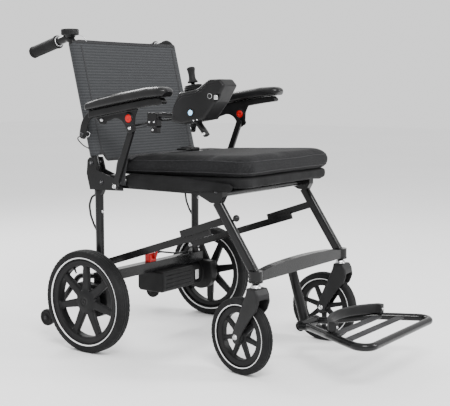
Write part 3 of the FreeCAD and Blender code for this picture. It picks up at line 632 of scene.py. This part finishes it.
def make_wheels():
    for name, side in SIDES.items():
        spin = f"rear_wheel_{name}_spin"
        body = f"rear_wheel_{name}"
        tread_tyre(f"rear_tyre_{name}", spin, REAR_TYRE, 66)
        reflective_ring(f"rear_{name}", spin, 123.6, 3.2, REAR_TYRE, body)
        softened(f"rear_rim_{name}", 2.0, 5)
        out = Vector((side, 0, 0))
        hub = JOINT[spin]
        lathe(f"rear_hub_cap_{name}", [
            (0.01, 15.4), (8, 15.6), (9, 14.6), (10.2, 15.6), (19, 15.2), (23, 13.8), (24.5, 11.5),
            (25.5, 11.6), (27, 12.4), (29.5, 11.8), (31.5, 8.5), (31.5, 6), (0.01, 6),
        ], hub, out, "rim_plastic", body, segments=72)
        lathe(f"rear_rim_lip_{name}", [
            (101.4, 12.6), (103, 14.2), (106, 14.6), (112, 14.2), (115.5, 15.4), (117.2, 15.2),
            (117.2, 12.6),
        ], hub, out, "rim_plastic", body, segments=144)
        lathe(f"rear_valve_{name}", [
            (0.01, 84), (2.6, 84), (2.8, 86), (2.2, 88), (2.9, 93), (3.4, 100.8), (0.01, 100.8),
        ], hub + out * (6 * MM), (0, math.sin(0.45), math.cos(0.45)), "rubber", body,
            segments=20)

        spin = f"caster_wheel_{name}_spin"
        body = f"caster_wheel_{name}"
        tread_tyre(f"caster_tyre_{name}", spin, CASTER_TYRE, 54)
        reflective_ring(f"caster_{name}", spin, 82.8, 2.4, CASTER_TYRE, body)
        softened(f"caster_rim_{name}", 1.7, 4)
        hub, axis = JOINT[spin], AXES[spin]
        for label, turn in (("a", 1), ("b", -1)):
            lathe(f"caster_{name}_hub_face_{label}", [
                (6, 15.8), (7.2, 16.9), (12, 16.9), (13, 15.8), (15.5, 15.6), (16.6, 13.5),
                (16.6, 12), (6, 12),
            ], hub, axis * turn, "rim_plastic", body)
            bolt(f"caster_{name}_axle_bolt_{label}", hub + axis * (turn * 25.4 * MM), axis * turn,
                 6.2, f"caster_{name}")
        softened(f"caster_fork_{name}", 1.8, 6)
        stem = JOINT[f"caster_{name}_swivel"]
        lathe(f"caster_{name}_stem_nut", [
            (8.2, 234.8), (14.5, 234.8), (14.5, 238), (11.8, 239), (11.6, 243), (10.4, 244),
            (9.2, 244.4), (9.2, 248.2), (8.2, 248.2),
        ], Vector((stem.x, stem.y, 0)), UP, "steel", f"caster_{name}",
            shape=lambda i, r, h, a: hexagon(r * 1.06, a) if i in (3, 4) else r)

        body = f"anti_tip_{name}"
        axle = JOINT[f"anti_tip_{name}_spin"]
        half = [(5.06, 7.4), (9, 7.4), (10, 6.2), (16, 6.0), (17, 7.0), (22, 7.3), (24.2, 5.6),
                (24.9, 2.6)]
        wheel = lathe(f"anti_tip_tyre_{name}",
                      [(r, -x) for r, x in half] + [(25, 0)] + half[::-1],
                      Vector((side * ANTI_TIP_OUT * MM, axle.y, axle.z)), out, "rubber", body,
                      segments=64)
        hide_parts(f"anti_tip_wheel_{name}")
        bolt(f"anti_tip_bolt_{name}", Vector((side * 252.2 * MM, axle.y, axle.z)), out, 4.6,
             "rear_frame", "black_steel")


# ---- seat

# Heights of the cushion's two faces along the seat, (y, z) in mm.
CUSHION_LOW = [(-508, 514.6), (-490, 514), (-42, 500)]
CUSHION_HIGH = [(-510, 560), (-484, 563), (-357, 563), (-54, 548), (-42, 545)]


def plan_outline(half, rear, front, rear_corner, front_corner, steps=8):
    """Rounded rectangle seen from above, counter-clockwise, in mm."""
    points = []
    for x, y, radius, start in (
        (half, front, front_corner, -90), (half, rear, rear_corner, 0),
        (-half, rear, rear_corner, 90), (-half, front, front_corner, 180),
    ):
        centre_x = x - math.copysign(radius, x)
        centre_y = y + radius if y == front else y - radius
        for k in range(steps + 1):
            angle = math.radians(start + 90 * k / steps)
            points.append((centre_x + radius * math.cos(angle),
                           centre_y + radius * math.sin(angle)))
    return points


def rim_steps(edge):
    """Round a rim from below: whether in its upper half, inset and height over its middle."""
    for degrees in range(-90, 91, 15):
        angle = math.radians(degrees)
        yield degrees >= 0, edge * (1 - math.cos(angle)), edge * math.sin(angle)


def pillow_mesh(name, half, rear, front, corners, edge, low, high, shift=0.0):
    """A flat closed form with rounded rim, between two heights that follow y."""
    rings = []
    for upper, inset, rise in rim_steps(edge):
        ring = []
        for x, y in plan_outline(half - inset, rear - inset, front + inset,
                                 max(corners[0] - inset, 1), max(corners[1] - inset, 1)):
            base = between(high, y) - edge if upper else between(low, y) + edge
            ring.append(at(x + shift, y, base + rise))
        rings.append(ring)
    return rings_mesh(name, rings)


def in_mm(point):
    """The reverse of at()."""
    return point.x / MM, (point.y - AXLE) / MM, point.z / MM


def make_cushion():
    def keep(point):
        x, y, z = in_mm(point)
        crown = 6.0 * clamp((-y - 60) / 120, 0, 1)
        return at(clamp(x, -235.5, 235.5), clamp(y, -511, -40.5),
                  clamp(z, between(CUSHION_LOW, y) + 0.3, between(CUSHION_HIGH, y) + crown))
    mesh = pillow_mesh("cushion_blank", 228, -46, -502, (26, 44), 22,
                       [(k, v + 1.5) for k, v in CUSHION_LOW],
                       [(k, v - 1.5) for k, v in CUSHION_HIGH])
    cushion = inflated("cushion_cover", mesh, 6.0, 9.0, keep)
    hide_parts("seat_cushion")
    return cushion


def wrap_size(share):
    """The wrap tucks in quickly at the rear and runs out slowly to the front."""
    if share < 0.04:
        return 0.5 + 0.5 * math.sin(share / 0.04 * math.pi / 2)
    if share > 0.96:
        return 0.5 * math.cos((share - 0.96) / 0.04 * math.pi / 2 * 0.8)
    return 1.0 if share < 0.5 else 1.0 - 0.5 * (share - 0.5) / 0.46


def make_pan():
    low = [(-492, 486.0), (-60, 486.0)]
    high = [(k, v - 2.0) for k, v in CUSHION_LOW]

    def keep(point):
        x, y, z = in_mm(point)
        return at(clamp(x, -223.5, 223.5), clamp(y, -496, -61.5),
                  clamp(z, 484.6, between(CUSHION_LOW, y) - 0.4))
    mesh = pillow_mesh("pan_blank", 219, -64, -490, (18, 36), 5.5, low, high)
    pan = inflated("seat_base_cover", mesh, 4.5, 5.0, keep)
    pan.data.materials[0] = MATERIALS["base_fabric"]
    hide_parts("seat_pan")
    profile = [(-5, 20), (0.4, 19), (3.6, 13), (4.8, 0), (4.2, -12), (1.8, -20), (-0.3, -22.5),
               (-0.7, -18), (-0.7, -3), (-3.4, 0), (-5, 10)]
    for name, side in SIDES.items():
        route = [at(side * 229, -100 - 356 * k / 72, 487) for k in range(73)]
        section = [(-side * u * (2.0 if u > 0 else 1), v) for u, v in profile]
        wrap = sweep(f"seat_base_wrap_{name}", route, section, "cushion_fabric", "chassis",
                     "base_fabric", up=UP, taper=wrap_size)


def make_piping(cushion):
    """Piped seam laid on the cover, a little under its widest line."""
    tree = surface_of(cushion)
    middle = at(0, -275, 0)
    for label, share, radius in (("lower", 0.22, 1.3), ("upper", 0.80, 0.9)):
        points = []
        for angle in ring_angles(220):
            heading = Vector((math.cos(angle), math.sin(angle), 0))
            ahead = middle + heading * 0.5
            y = clamp((middle.y + heading.y * 0.23 - AXLE) / MM, -508, -42)
            low, high = between(CUSHION_LOW, y), between(CUSHION_HIGH, y)
            level = (low + (high - low) * share) * MM
            hit = tree.ray_cast(Vector((ahead.x, ahead.y, level)), -heading)[0]
            if hit is not None:
                points.append(hit + heading * 0.0004)
        count = len(points)
        rings = []
        for i, point in enumerate(points):
            along = (points[(i + 1) % count] - points[i - 1]).normalized()
            across = along.cross(UP).normalized()
            rings.append([point + across * (u * MM) + UP * (v * MM)
                          for u, v in round_section(radius, 8)])
        mesh = rings_mesh(f"cushion_piping_{label}", rings, closed_along=True)
        add_piece(f"cushion_piping_{label}", mesh, "webbing", body="chassis")


# Where each strap lies on the cushion: x, y and its lift off the surface, mm.
BELT_LAY = {
    "right": ((-222, -93, 1.6), (-196, -92, 1.6), (-160, -90, 1.8), (-128, -94, 3.6),
              (-104, -98, 1.8), (-78, -96, 1.6), (-46, -94, 3.2), (-16, -94, 3.4),
              (10, -93, 3.0), (28, -93, 5.0)),
    "left": ((222, -93, 1.6), (198, -93, 1.6), (170, -92, 2.8), (142, -93, 3.2),
             (116, -93, 2.2), (84, -93, 5.0)),
}


def make_belt(cushion):
    tree = surface_of(cushion)
    strap = [(v, u) for u, v in flat_section(37, 1.8)]

    def lying(x, y, lift):
        hit = tree.ray_cast(at(x, y, 640), -UP)[0]
        if hit is None:
            hit = tree.find_nearest(at(x, y, 552))[0]
            hit.x = x * MM
        return hit + UP * (lift * MM)
    for name, side in SIDES.items():
        down = [at(side * 242.2, -88, 474), at(side * 242.2, -88, 500), at(side * 240.6, -90, 525),
                at(side * 237.8, -92, 540), at(side * 233.5, -93, 550.5)]
        route = smooth_route(down + [lying(*p) for p in BELT_LAY[name]], 0.004)
        sweep(f"belt_strap_{name}", route, strap, "webbing", "chassis", up=(0, 1, 0))
        bolt(f"belt_anchor_{name}", at(side * 244.2, -88, 480), (side, 0, 0), 3.6, "chassis",
             "black_steel")
    level = lying(56, -93, 0).z / MM

    def clasp(name, half, front, rear, corner, edge, low, high, x, voxel):
        faces = [[(-200, level + height), (0, level + height)] for height in (low, high)]
        blank = pillow_mesh(name + "_blank", half, rear, front, (corner, corner), edge, *faces, x)
        return add_piece(name, remeshed(name, blank, voxel, 2), "webbing", "pod_plastic",
                         "chassis")
    buckle = clasp("belt_buckle", 22, -116, -70, 7, 3.5, 1.2, 12.6, 64, 1.4)
    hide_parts("lap_belt")
    clasp("belt_tongue", 11, -113, -73, 4, 2.4, 2.6, 10.0, 33, 1.2)
    slot_top = level + 12.8
    for number, y in enumerate((-103, -93, -83)):
        sweep(f"belt_buckle_rib_{number}", [at(56, y, slot_top), at(64, y, slot_top + 0.2),
                                            at(74, y, slot_top)],
              round_section(1.0, 8), "webbing", "chassis", "pod_plastic")


def stitches(name, route, pitch, length, radius, slot, body, material=None):
    """One mesh of short threads along a route."""
    points, faces = [], []
    travelled, target = 0.0, 0.0
    for here, there in zip(route, route[1:]):
        along = (there - here).normalized()
        while travelled + (there - here).length >= target:
            start = here + along * (target - travelled)
            axis, side, up = frame_about(along)
            base = len(points)
            for share, girth in ((0, 0.4), (0.2, 1), (0.8, 1), (1, 0.4)):
                for angle in ring_angles(6):
                    out = side * math.cos(angle) + up * math.sin(angle)
                    points.append(start + axis * (length * share * MM)
                                  + out * (radius * girth * MM))
            for ring in range(3):
                for k in range(6):
                    a, b = base + ring * 6 + k, base + ring * 6 + (k + 1) % 6
                    faces.append((a, b, b + 6, a + 6))
            faces.append(tuple(base + k for k in range(6)))
            faces.append(tuple(base + 18 + k for k in range(6)))
            target += pitch * MM
        travelled += (there - here).length
    return add_piece(name, mesh_from(name, points, faces), slot, material, body)


# ---- back

# The backrest's own directions, then widths across it and heights along it, mm.
LEAN = (at(0, 110.6, 886.5) - at(0, 15.6, 500)).normalized()
FRONT = Vector((0, -LEAN.z, LEAN.y))
BACK_FOOT = at(0, 15.6, 500)
SLEEVE = 12.4
UPRIGHT = 221.0
FABRIC_LOW, FABRIC_TOP = 50.0, 384.0
ARM_PIVOT = (42.7, 610)             # y, z


def back_point(x, forward, along):
    return BACK_FOOT + Vector((x * MM, 0, 0)) + FRONT * (forward * MM) + LEAN * (along * MM)


def front_face(x):
    return SLEEVE + 1.2 - 4.0 * max(0.0, 1 - (x / UPRIGHT) ** 2)


def fabric_top(x):
    over = clamp((abs(x) - 208) / 27, 0, 0.985)
    return FABRIC_TOP - 17 * (1 - math.sqrt(1 - over * over))


def fabric_low(x):
    """The middle hangs a little lower, between the ears of the rear brackets."""
    share = clamp((198 - abs(x)) / 14, 0, 1)
    return FABRIC_LOW - 19 * share * share * (3 - 2 * share)


def make_back():
    path = []
    for degrees in range(165, -1, -11):
        angle = math.radians(degrees)
        path.append((UPRIGHT + SLEEVE * math.sin(angle), SLEEVE * math.cos(angle)))
    span = [210 - 420 * k / 60 for k in range(61)]
    path += [(x, front_face(x)) for x in span] + [(-x, n) for x, n in reversed(path)]
    rows = 90
    points, faces = [], []
    for x, forward in path:
        top, low = fabric_top(x), fabric_low(x)
        for k in range(rows + 1):
            points.append(back_point(x, forward, low + (top - low) * k / rows))
    for i in range(len(path) - 1):
        for k in range(rows):
            a = i * (rows + 1) + k
            faces.append((a, a + 1, a + rows + 2, a + rows + 1))
    mesh = mesh_from("back_panel_blank", points, faces)
    holder = linked("back_panel_blank", mesh)
    assign(holder.modifiers.new("thick", "SOLIDIFY"), thickness=1.6 * MM, offset=0.0)
    panel = add_piece("back_panel", evaluated_mesh(holder, "back_panel"), "mesh_fabric", None,
                      "backrest")
    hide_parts("back_fabric")
    width = sum(math.dist(a, b) for a, b in zip(path, path[1:])) * MM

    edge = [(x, fabric_top(x) - 4.5) for x in (228 - 456 * k / 90 for k in range(91))]
    route = [back_point(x, front_face(min(abs(x), UPRIGHT)) - max(abs(x) - UPRIGHT, 0), v)
             for x, v in edge]
    sweep("back_top_hem", route, flat_section(9.5, 3.4), "webbing",
                      "backrest", up=FRONT)
    route = [back_point(x, front_face(x), fabric_low(x) + 5) for x, _ in edge if abs(x) < 216]
    sweep("back_bottom_hem", route, flat_section(10, 3.2), "webbing", "backrest",
                      up=FRONT)
    for name, side in SIDES.items():
        for label, x in (("outer", 207.5), ("inner", 201.5)):
            line = [back_point(side * x, front_face(x) + 0.9, v) for v in range(58, 366, 5)]
            stitches(f"back_stitches_{label}_{name}", line, 4.4, 3.0, 0.42, "webbing",
                                 "backrest", "thread")
        line = [back_point(side * 204.5, front_face(204.5) + 0.5, v) for v in range(56, 372, 6)]
        sweep(f"back_seam_{name}", line, flat_section(4.4, 1.5), "webbing",
                          "backrest", up=FRONT)
        lathe(f"back_eyelet_{name}", [
            (5.2, -0.6), (8.4, -0.6), (8.8, 0.6), (8.0, 1.6), (6.2, 1.8), (5.2, 1.0),
        ], at(side * 233.0, *ARM_PIVOT), (side, 0, 0), "steel", "backrest", segments=36)
    (FABRIC_TOP - fabric_low(0)) * MM


def make_handles():
    start, end = at(0, 163, 872), at(0, 265.2, 843.6)
    axis = (end - start).normalized()
    for name, side in SIDES.items():
        origin = start + Vector((side * UPRIGHT * MM, 0, 0))
        profile = [(11.2, 0.2), (18.6, 0.2), (19.2, 1.6), (19.2, 5.2), (18.2, 6.6), (16.4, 7.0)]
        profile += [(16.4, 8 + 1.25 * k) for k in range(73)]
        profile += [(16.0, 99.6), (17.4, 100.4), (17.4, 107.6), (16.0, 109.8), (12, 110.9),
                    (0.01, 111.0), (0.01, 107), (11.2, 106)]

        def knurl(index, radius, height, angle):
            if not 6 <= index <= 78:
                return radius
            left = abs(math.sin(angle * 12 + height * 0.42))
            right = abs(math.sin(angle * 12 - height * 0.42))
            return radius + 0.75 * (min(left, right) ** 0.6)
        grip = lathe(f"handle_grip_{name}", profile, origin, axis, "rubber", "backrest",
                     segments=144, shape=knurl)
        if name == "left":
            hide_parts("handle_grips")
        lathe(f"grip_ring_{name}", [(11.1, -2.6), (15.2, -2.6), (15.8, -1.4), (15.8, -0.4),
                                    (15.2, 0.1), (11.1, 0.1)],
              origin, axis, "steel", "backrest", segments=60)
    drum = lathe("handle_drum_ribbed", [
        (0.01, 12), (12.5, 12), (15, 13.5), (15.5, 17.5), (24.4, 19.4), (25.4, 21.4), (25.4, 24),
        (25.4, 27), (25.4, 30), (25.4, 33), (24.8, 35.4), (22.5, 36.7), (18.5, 36.9), (17.6, 35.9),
        (10, 35.7), (0.01, 35.7),
    ], at(-UPRIGHT, 117, 870), UP, "pod_plastic", "backrest", segments=192,
        shape=lambda i, r, h, a: r - 0.9 * (0.5 + 0.5 * math.cos(32 * a)) if 5 <= i <= 10 else r)
    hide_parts("handle_drum")
    wire("drum_wire", [(-201, 101, 890), (-192, 96, 886), (-185, 93, 879), (-181, 92, 871)],
         0.002, 0.9, 10, "steel", "backrest")


# ---- armrests

RELEASE_BUTTON = (-139, 659)        # y, z
# Heights of the pad's underside and top along the arm, (y, z) in mm.
PAD_LOW = [(-287, 731), (-276, 718.2), (-216, 713.2), (-110, 696.2), (0, 678.2), (4, 689)]
PAD_HIGH = [(-287, 731.6), (-284, 736), (-278, 740.6), (-268, 743.6), (-255, 744), (-216, 742),
            (-110, 726), (-50, 714), (-14, 704), (-2, 699), (4, 690)]


def make_armrest(name, side):
    body = f"armrest_{name}"
    rings = []
    for k in range(81):
        y = -141.5 - 145.2 * math.cos(math.pi * k / 80)
        low, high = between(PAD_LOW, y), between(PAD_HIGH, y)
        front = max(0.0, (-y - 259) / 28)
        rear = max(0.0, (y + 10) / 14)
        half = 27.8 * math.sqrt(max(0.02, 1 - max(front, rear) ** 2))
        middle, tall = (low + high) / 2, max((high - low) / 2, 0.4)
        ring = []
        for angle in ring_angles(48):
            sine = math.sin(angle)
            ring.append(at(side * 268 + half * signed_power(math.cos(angle), 0.62), y,
                           middle + tall * signed_power(sine, 0.86 if sine > 0 else 0.36)))
        rings.append(ring)
    mesh = rings_mesh(f"armrest_cushion_{name}", rings)
    pad = add_piece(f"armrest_cushion_{name}", mesh, "armrest_gloss", None, body)
    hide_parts(f"armrest_pad_{name}")
    softened(f"armrest_bracket_{name}", 1.7, 4)
    out = Vector((side, 0, 0))
    bolt(f"arm_bolt_rear_{name}", at(side * 264.2, -40, 653), out, 4.4, body)
    bolt(f"arm_bolt_front_{name}", at(side * 264.4, -141, 633), out, 4.4, body)
    bolt(f"arm_bolt_pivot_{name}", at(side * 257.4, *ARM_PIVOT), out, 5.6, body, "black_steel")
    button = lathe(f"release_button_cap_{name}", [
        (0.01, 0.2), (11.2, 0.2), (11.4, 1.0), (11.3, 10.4), (10.6, 11.8), (9.2, 12.7), (6, 13.3),
        (0.01, 13.5),
    ], at(side * 255.2, *RELEASE_BUTTON), out, "red_plastic", f"release_button_{name}",
        segments=60)
    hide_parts(f"release_button_{name}")
    lathe(f"release_bezel_{name}", [(11.7, 0), (15.2, 0), (15.6, 1.2), (14.8, 2.4), (12.6, 2.8),
                                    (11.7, 2.0)],
          at(side * 264.8, *RELEASE_BUTTON), out, "pod_plastic", body, segments=60)
    for label, y, z, reach in (("fold", -15, 478, 241.8), ("back", 23, 530, 241.8),
                               ("post", -77, 471, 257.3)):
        bolt(f"{label}_pin_head_{name}", at(side * reach, y, z), out, 5.6, "chassis",
             "steel" if label == "post" else "black_steel")
    loop = ((250, 47, 604), (247, 60, 604), (244, 71, 598), (241, 66, 588), (238, 52, 577),
            (234.6, 36, 570))
    cable = wire(f"arm_cable_loop_{name}", [(side * x, y, z) for x, y, z in loop], 0.003, 1.7, 10,
                 "cable_jacket", None)
    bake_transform(cable)


# ---- joystick

POWER_BUTTON, MODE_DIAL = (-374, 679), (-434, 721)      # y, z
STICK_LEAN = math.radians(10)


def make_joystick():
    body = "armrest_right"
    softened("joystick_housing", 1.6, 22)
    lean = Vector((0, math.sin(STICK_LEAN), math.cos(STICK_LEAN)))
    base = at(-265, -361, 735)
    boot = lathe("joystick_bellows", [
        (13, 0.3), (26.6, 0.3), (27.2, 1.2), (26.4, 2.4), (23.4, 3.4), (22.2, 4.4), (24.6, 5.8),
        (25.2, 6.8), (24.4, 7.7), (21.2, 8.5), (20.0, 9.3), (22.4, 10.6), (22.9, 11.5),
        (21.8, 12.5), (17, 13.4), (10.8, 13.2), (10.8, 12.4), (13, 11),
    ], base, lean, "rubber", body, segments=96)
    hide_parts("joystick_boot")
    stick = lathe("joystick_knob", [
        (0.01, -8), (5, -8), (5, 19.2), (12.8, 19.5), (13.6, 20.3), (13.4, 21.4), (12.3, 23.2),
        (10.8, 25), (9.4, 28), (8.6, 32), (8.4, 38), (8.8, 44), (9.6, 49.5), (10.5, 53.5),
        (10.6, 55.5), (9.8, 57.6), (7.8, 59), (4, 59.8), (0.01, 60),
    ], base, lean, "rubber", "joystick_stick", segments=64)
    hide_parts("joystick_stick")
    out = Vector((-1, 0, 0))
    lens = lathe("power_lens", [
        (0.01, 4.0), (5.6, 4.0), (6.8, 4.3), (6.9, 4.7), (6.2, 5.3), (4, 5.8), (0.01, 6.0),
    ], at(-293.2, *POWER_BUTTON), out, "lamp_button", "power_button")
    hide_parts("power_button")
    lathe("power_bezel", [(7.8, 0), (10.6, 0), (10.8, 1.0), (10.0, 2.0), (8.6, 2.3), (7.8, 1.6)],
          at(-295.4, *POWER_BUTTON), out, "pod_plastic", body)
    lathe("mode_ring", [(5.4, 0), (6.8, 0), (7.0, 0.8), (6.6, 1.4), (5.8, 1.4), (5.4, 0.8)],
          at(-295.2, *MODE_DIAL), out, "steel", body)
    lathe("mode_dial", [(0.01, 0), (5.3, 0), (5.4, 2.4), (4.6, 3.2), (0.01, 3.4)],
          at(-295.2, *MODE_DIAL), out, "pod_plastic", body, segments=36,
          shape=lambda i, r, h, a: r - 0.35 * (0.5 + 0.5 * math.cos(12 * a)) if i == 2 else r)
    switch = add_piece("speed_toggle", remeshed("speed_toggle", pillow_upright(
        -300.0, -292.6, -457.6, -448.4, 711.9, 724.1, 2.2), 0.8, 3), "steel", None, "speed_switch")
    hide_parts("speed_switch")
    for number, points in enumerate((
        [(-318, 688), (-326, 704), (-345, 722), (-392, 731.5), (-426, 751), (-456, 756)],
        [(-317, 678), (-327, 697), (-347, 716), (-393, 726), (-427, 745), (-458, 750)],
    )):
        wire(f"pod_ridge_{number}", [(-295.6, y, z) for y, z in points], 0.003, 1.1, 10,
             "pod_plastic", body, taper=lambda t: min(1.0, 0.3 + 8 * t * (1 - t)))
    for number, (y, z) in enumerate(((-383, 659.5), (-394, 661.5))):
        bolt(f"pod_screw_{number}", at(-296.0, y, z), out, 1.9, body)
    foot = [at(-265, -374, 664), at(-265, -378, 650), at(-265, -392, 634), at(-265, -402, 621)]
    sweep("pod_hook", smooth_route(foot, 0.004),
          [(9 * signed_power(math.cos(a), 0.5), 6 * signed_power(math.sin(a), 0.5))
           for a in ring_angles(24)], "pod_plastic", body)
    bolt("pod_hook_bolt", at(-274.6, -399, 626), out, 3.4, body)
    softened("joystick_arm", 1.6, 3)
    for number, (y, z) in enumerate(((-231, 631), (-238, 652), (-222, 652))):
        bolt(f"clamp_screw_{number}", at(-277.6 if number else -274.6, y, z), out, 2.4, body)
    for number, (first, sag, last) in enumerate((
        ((-154, 644), (-192, 647), (-232, 655)), ((-150, 630), (-190, 637), (-228, 648)),
    )):
        x = -266 - 2 * number
        wire(f"brake_wire_{number}", [(x, *first), (x, *sag), (x, *last)], 0.003, 0.9, 8,
             "cable_jacket", body)


def pillow_upright(x_low, x_high, y_low, y_high, z_low, z_high, edge):
    """A small box with rounded rim, its rim turned about X."""
    rings = []
    mid_y, mid_z = (y_low + y_high) / 2, (z_low + z_high) / 2
    for upper, inset, rise in rim_steps(edge):
        x = (x_high - edge if upper else x_low + edge) + rise
        half_y, half_z = (y_high - y_low) / 2 - inset, (z_high - z_low) / 2 - inset
        rings.append([at(x, mid_y + half_y * signed_power(math.cos(turn), 0.4),
                         mid_z + half_z * signed_power(math.sin(turn), 0.4))
                      for turn in ring_angles(32)])
    return rings_mesh("toggle_blank", rings)


# ---- frame details

MOTOR_AXIS = (22, 146)              # y, z


def make_details():
    softened("battery_case", 2.2, 4)
    softened("gear_motors", 2.2, 3)
    softened("battery_plug", 1.4, 5)
    softened("heel_loop", 1.8, 4)
    for name, side in SIDES.items():
        out = Vector((side, 0, 0))
        for number, reach in enumerate((162, 171, 180, 189)):
            lathe(f"motor_rib_{number}_{name}", [
                (34.6, -1.4), (36.6, -1.4), (37.2, 0), (36.6, 1.4), (34.6, 1.4)],
                at(side * reach, *MOTOR_AXIS), out, "motor_paint", "rear_frame", segments=72)
        lathe(f"motor_cap_{name}", [(0.01, 0), (30, 0), (31.5, -1.2), (31.5, -2.6), (8, -2.6),
                                    (7, -4.2), (0.01, -4.2)],
              at(side * 152.4, *MOTOR_AXIS), out, "motor_paint", "rear_frame", segments=72)
        for number, (y, z) in enumerate(((-38, 170), (54, 170), (50, 124), (-30, 122))):
            bolt(f"gearbox_bolt_{number}_{name}", at(side * 263.2, y, z), out, 3.0, "rear_frame",
                 "black_steel")
        bolt(f"stay_pin_head_{name}", at(side * 197.4, 11, 240), -out, 5.6, "rear_frame")
        for number, z in enumerate((392, 236)):
            bolt(f"leg_bolt_{number}_{name}", at(side * 222, -1.8, z), (0, -1, 0), 4.2,
                 "rear_frame")
        for number, y in enumerate((-352, -404)):
            bolt(f"gusset_bolt_{number}_{name}", at(side * 229.2, y, 474), out, 4.0, "chassis",
                 "black_steel")
        bolt(f"foot_bolt_{name}", at(side * 47.2, -549, 104), out, 5.0, "footplate", "black_steel")
        bolt(f"loop_bolt_{name}", at(side * 127, -708.8, 141), (0, -1, 0), 3.2, "footplate")
        lathe(f"head_collar_{name}", [(18.1, 250), (18.9, 250.6), (18.9, 254), (18.1, 254.8),
                                      (17.2, 254.8), (17.2, 250)],
              at(side * 220, -523, 0), UP, "frame_paint", "chassis", segments=60)
    section = [(-10.6, -2.2), (-11, -1.4), (-11, 1.2)]
    for k in range(5):
        middle = -8.6 + 17.2 * k / 4
        section += [(middle + u, v) for u, v in ((-1.5, 1.3), (-1.0, 2.5), (1.0, 2.5), (1.5, 1.3))]
    section += [(11, 1.2), (11, -1.4), (10.6, -2.2)]
    for label, y, half in (("rear", -700, 117.5), ("front", -752, 146.5)):
        route = [at(-half + 2 * half * k / 40, y, 120.5) for k in range(41)]
        slat = sweep(f"tread_slat_{label}", route, section, "frame_paint", "footplate",
                     "slat_plastic", up=UP)
        if label == "front":
            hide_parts("footplate_slats")
    plate = pillow_upright(148.0, 165.0, -47.8, -45.2, 142, 173, 1.0)
    add_piece("battery_latch", remeshed("battery_latch", plate, 0.9, 2), "steel", None,
              "rear_frame")
    for number, z in enumerate((138, 150, 162, 174)):
        route = [at(x, -46.4, z) for x in (6, 40, 90, 130)]
        sweep(f"battery_rib_{number}", route, round_section(1.3, 8), "case_plastic", "rear_frame")
    strap = smooth_route([at(-4, -8, 226), at(-2, -13, 238), at(2, -9, 251), at(6, 0, 255),
                          at(9, 6, 246)], 0.003)
    sweep("plug_strap", strap, [(v, u) for u, v in flat_section(11, 1.6)], "red_plastic",
          "rear_frame", up=(1, 0, 0))
    for number, shift in enumerate((0, 7)):
        wire(f"battery_wire_{number}", [
            (8, 2 + shift, 236 - shift), (34, 3 + shift, 240), (70, 6 + shift, 234),
            (112, 8 + shift / 2, 226), (150, 12, 221), (186, 14, 219.6),
        ], 0.004, 2.6, 12, "cable_jacket", "rear_frame")


# ---- assembly

make_camera()
MATERIALS = make_materials()
make_studio()

for node, part in NODES.items():
    part.data.materials.clear()
    part.data.materials.append(MATERIALS[SLOTS[node]])

make_wheels()
seat_cushion = make_cushion()
make_pan()
make_piping(seat_cushion)
make_belt(seat_cushion)
make_back()
make_handles()
for side_name, sign in SIDES.items():
    make_armrest(side_name, sign)
make_joystick()
make_details()
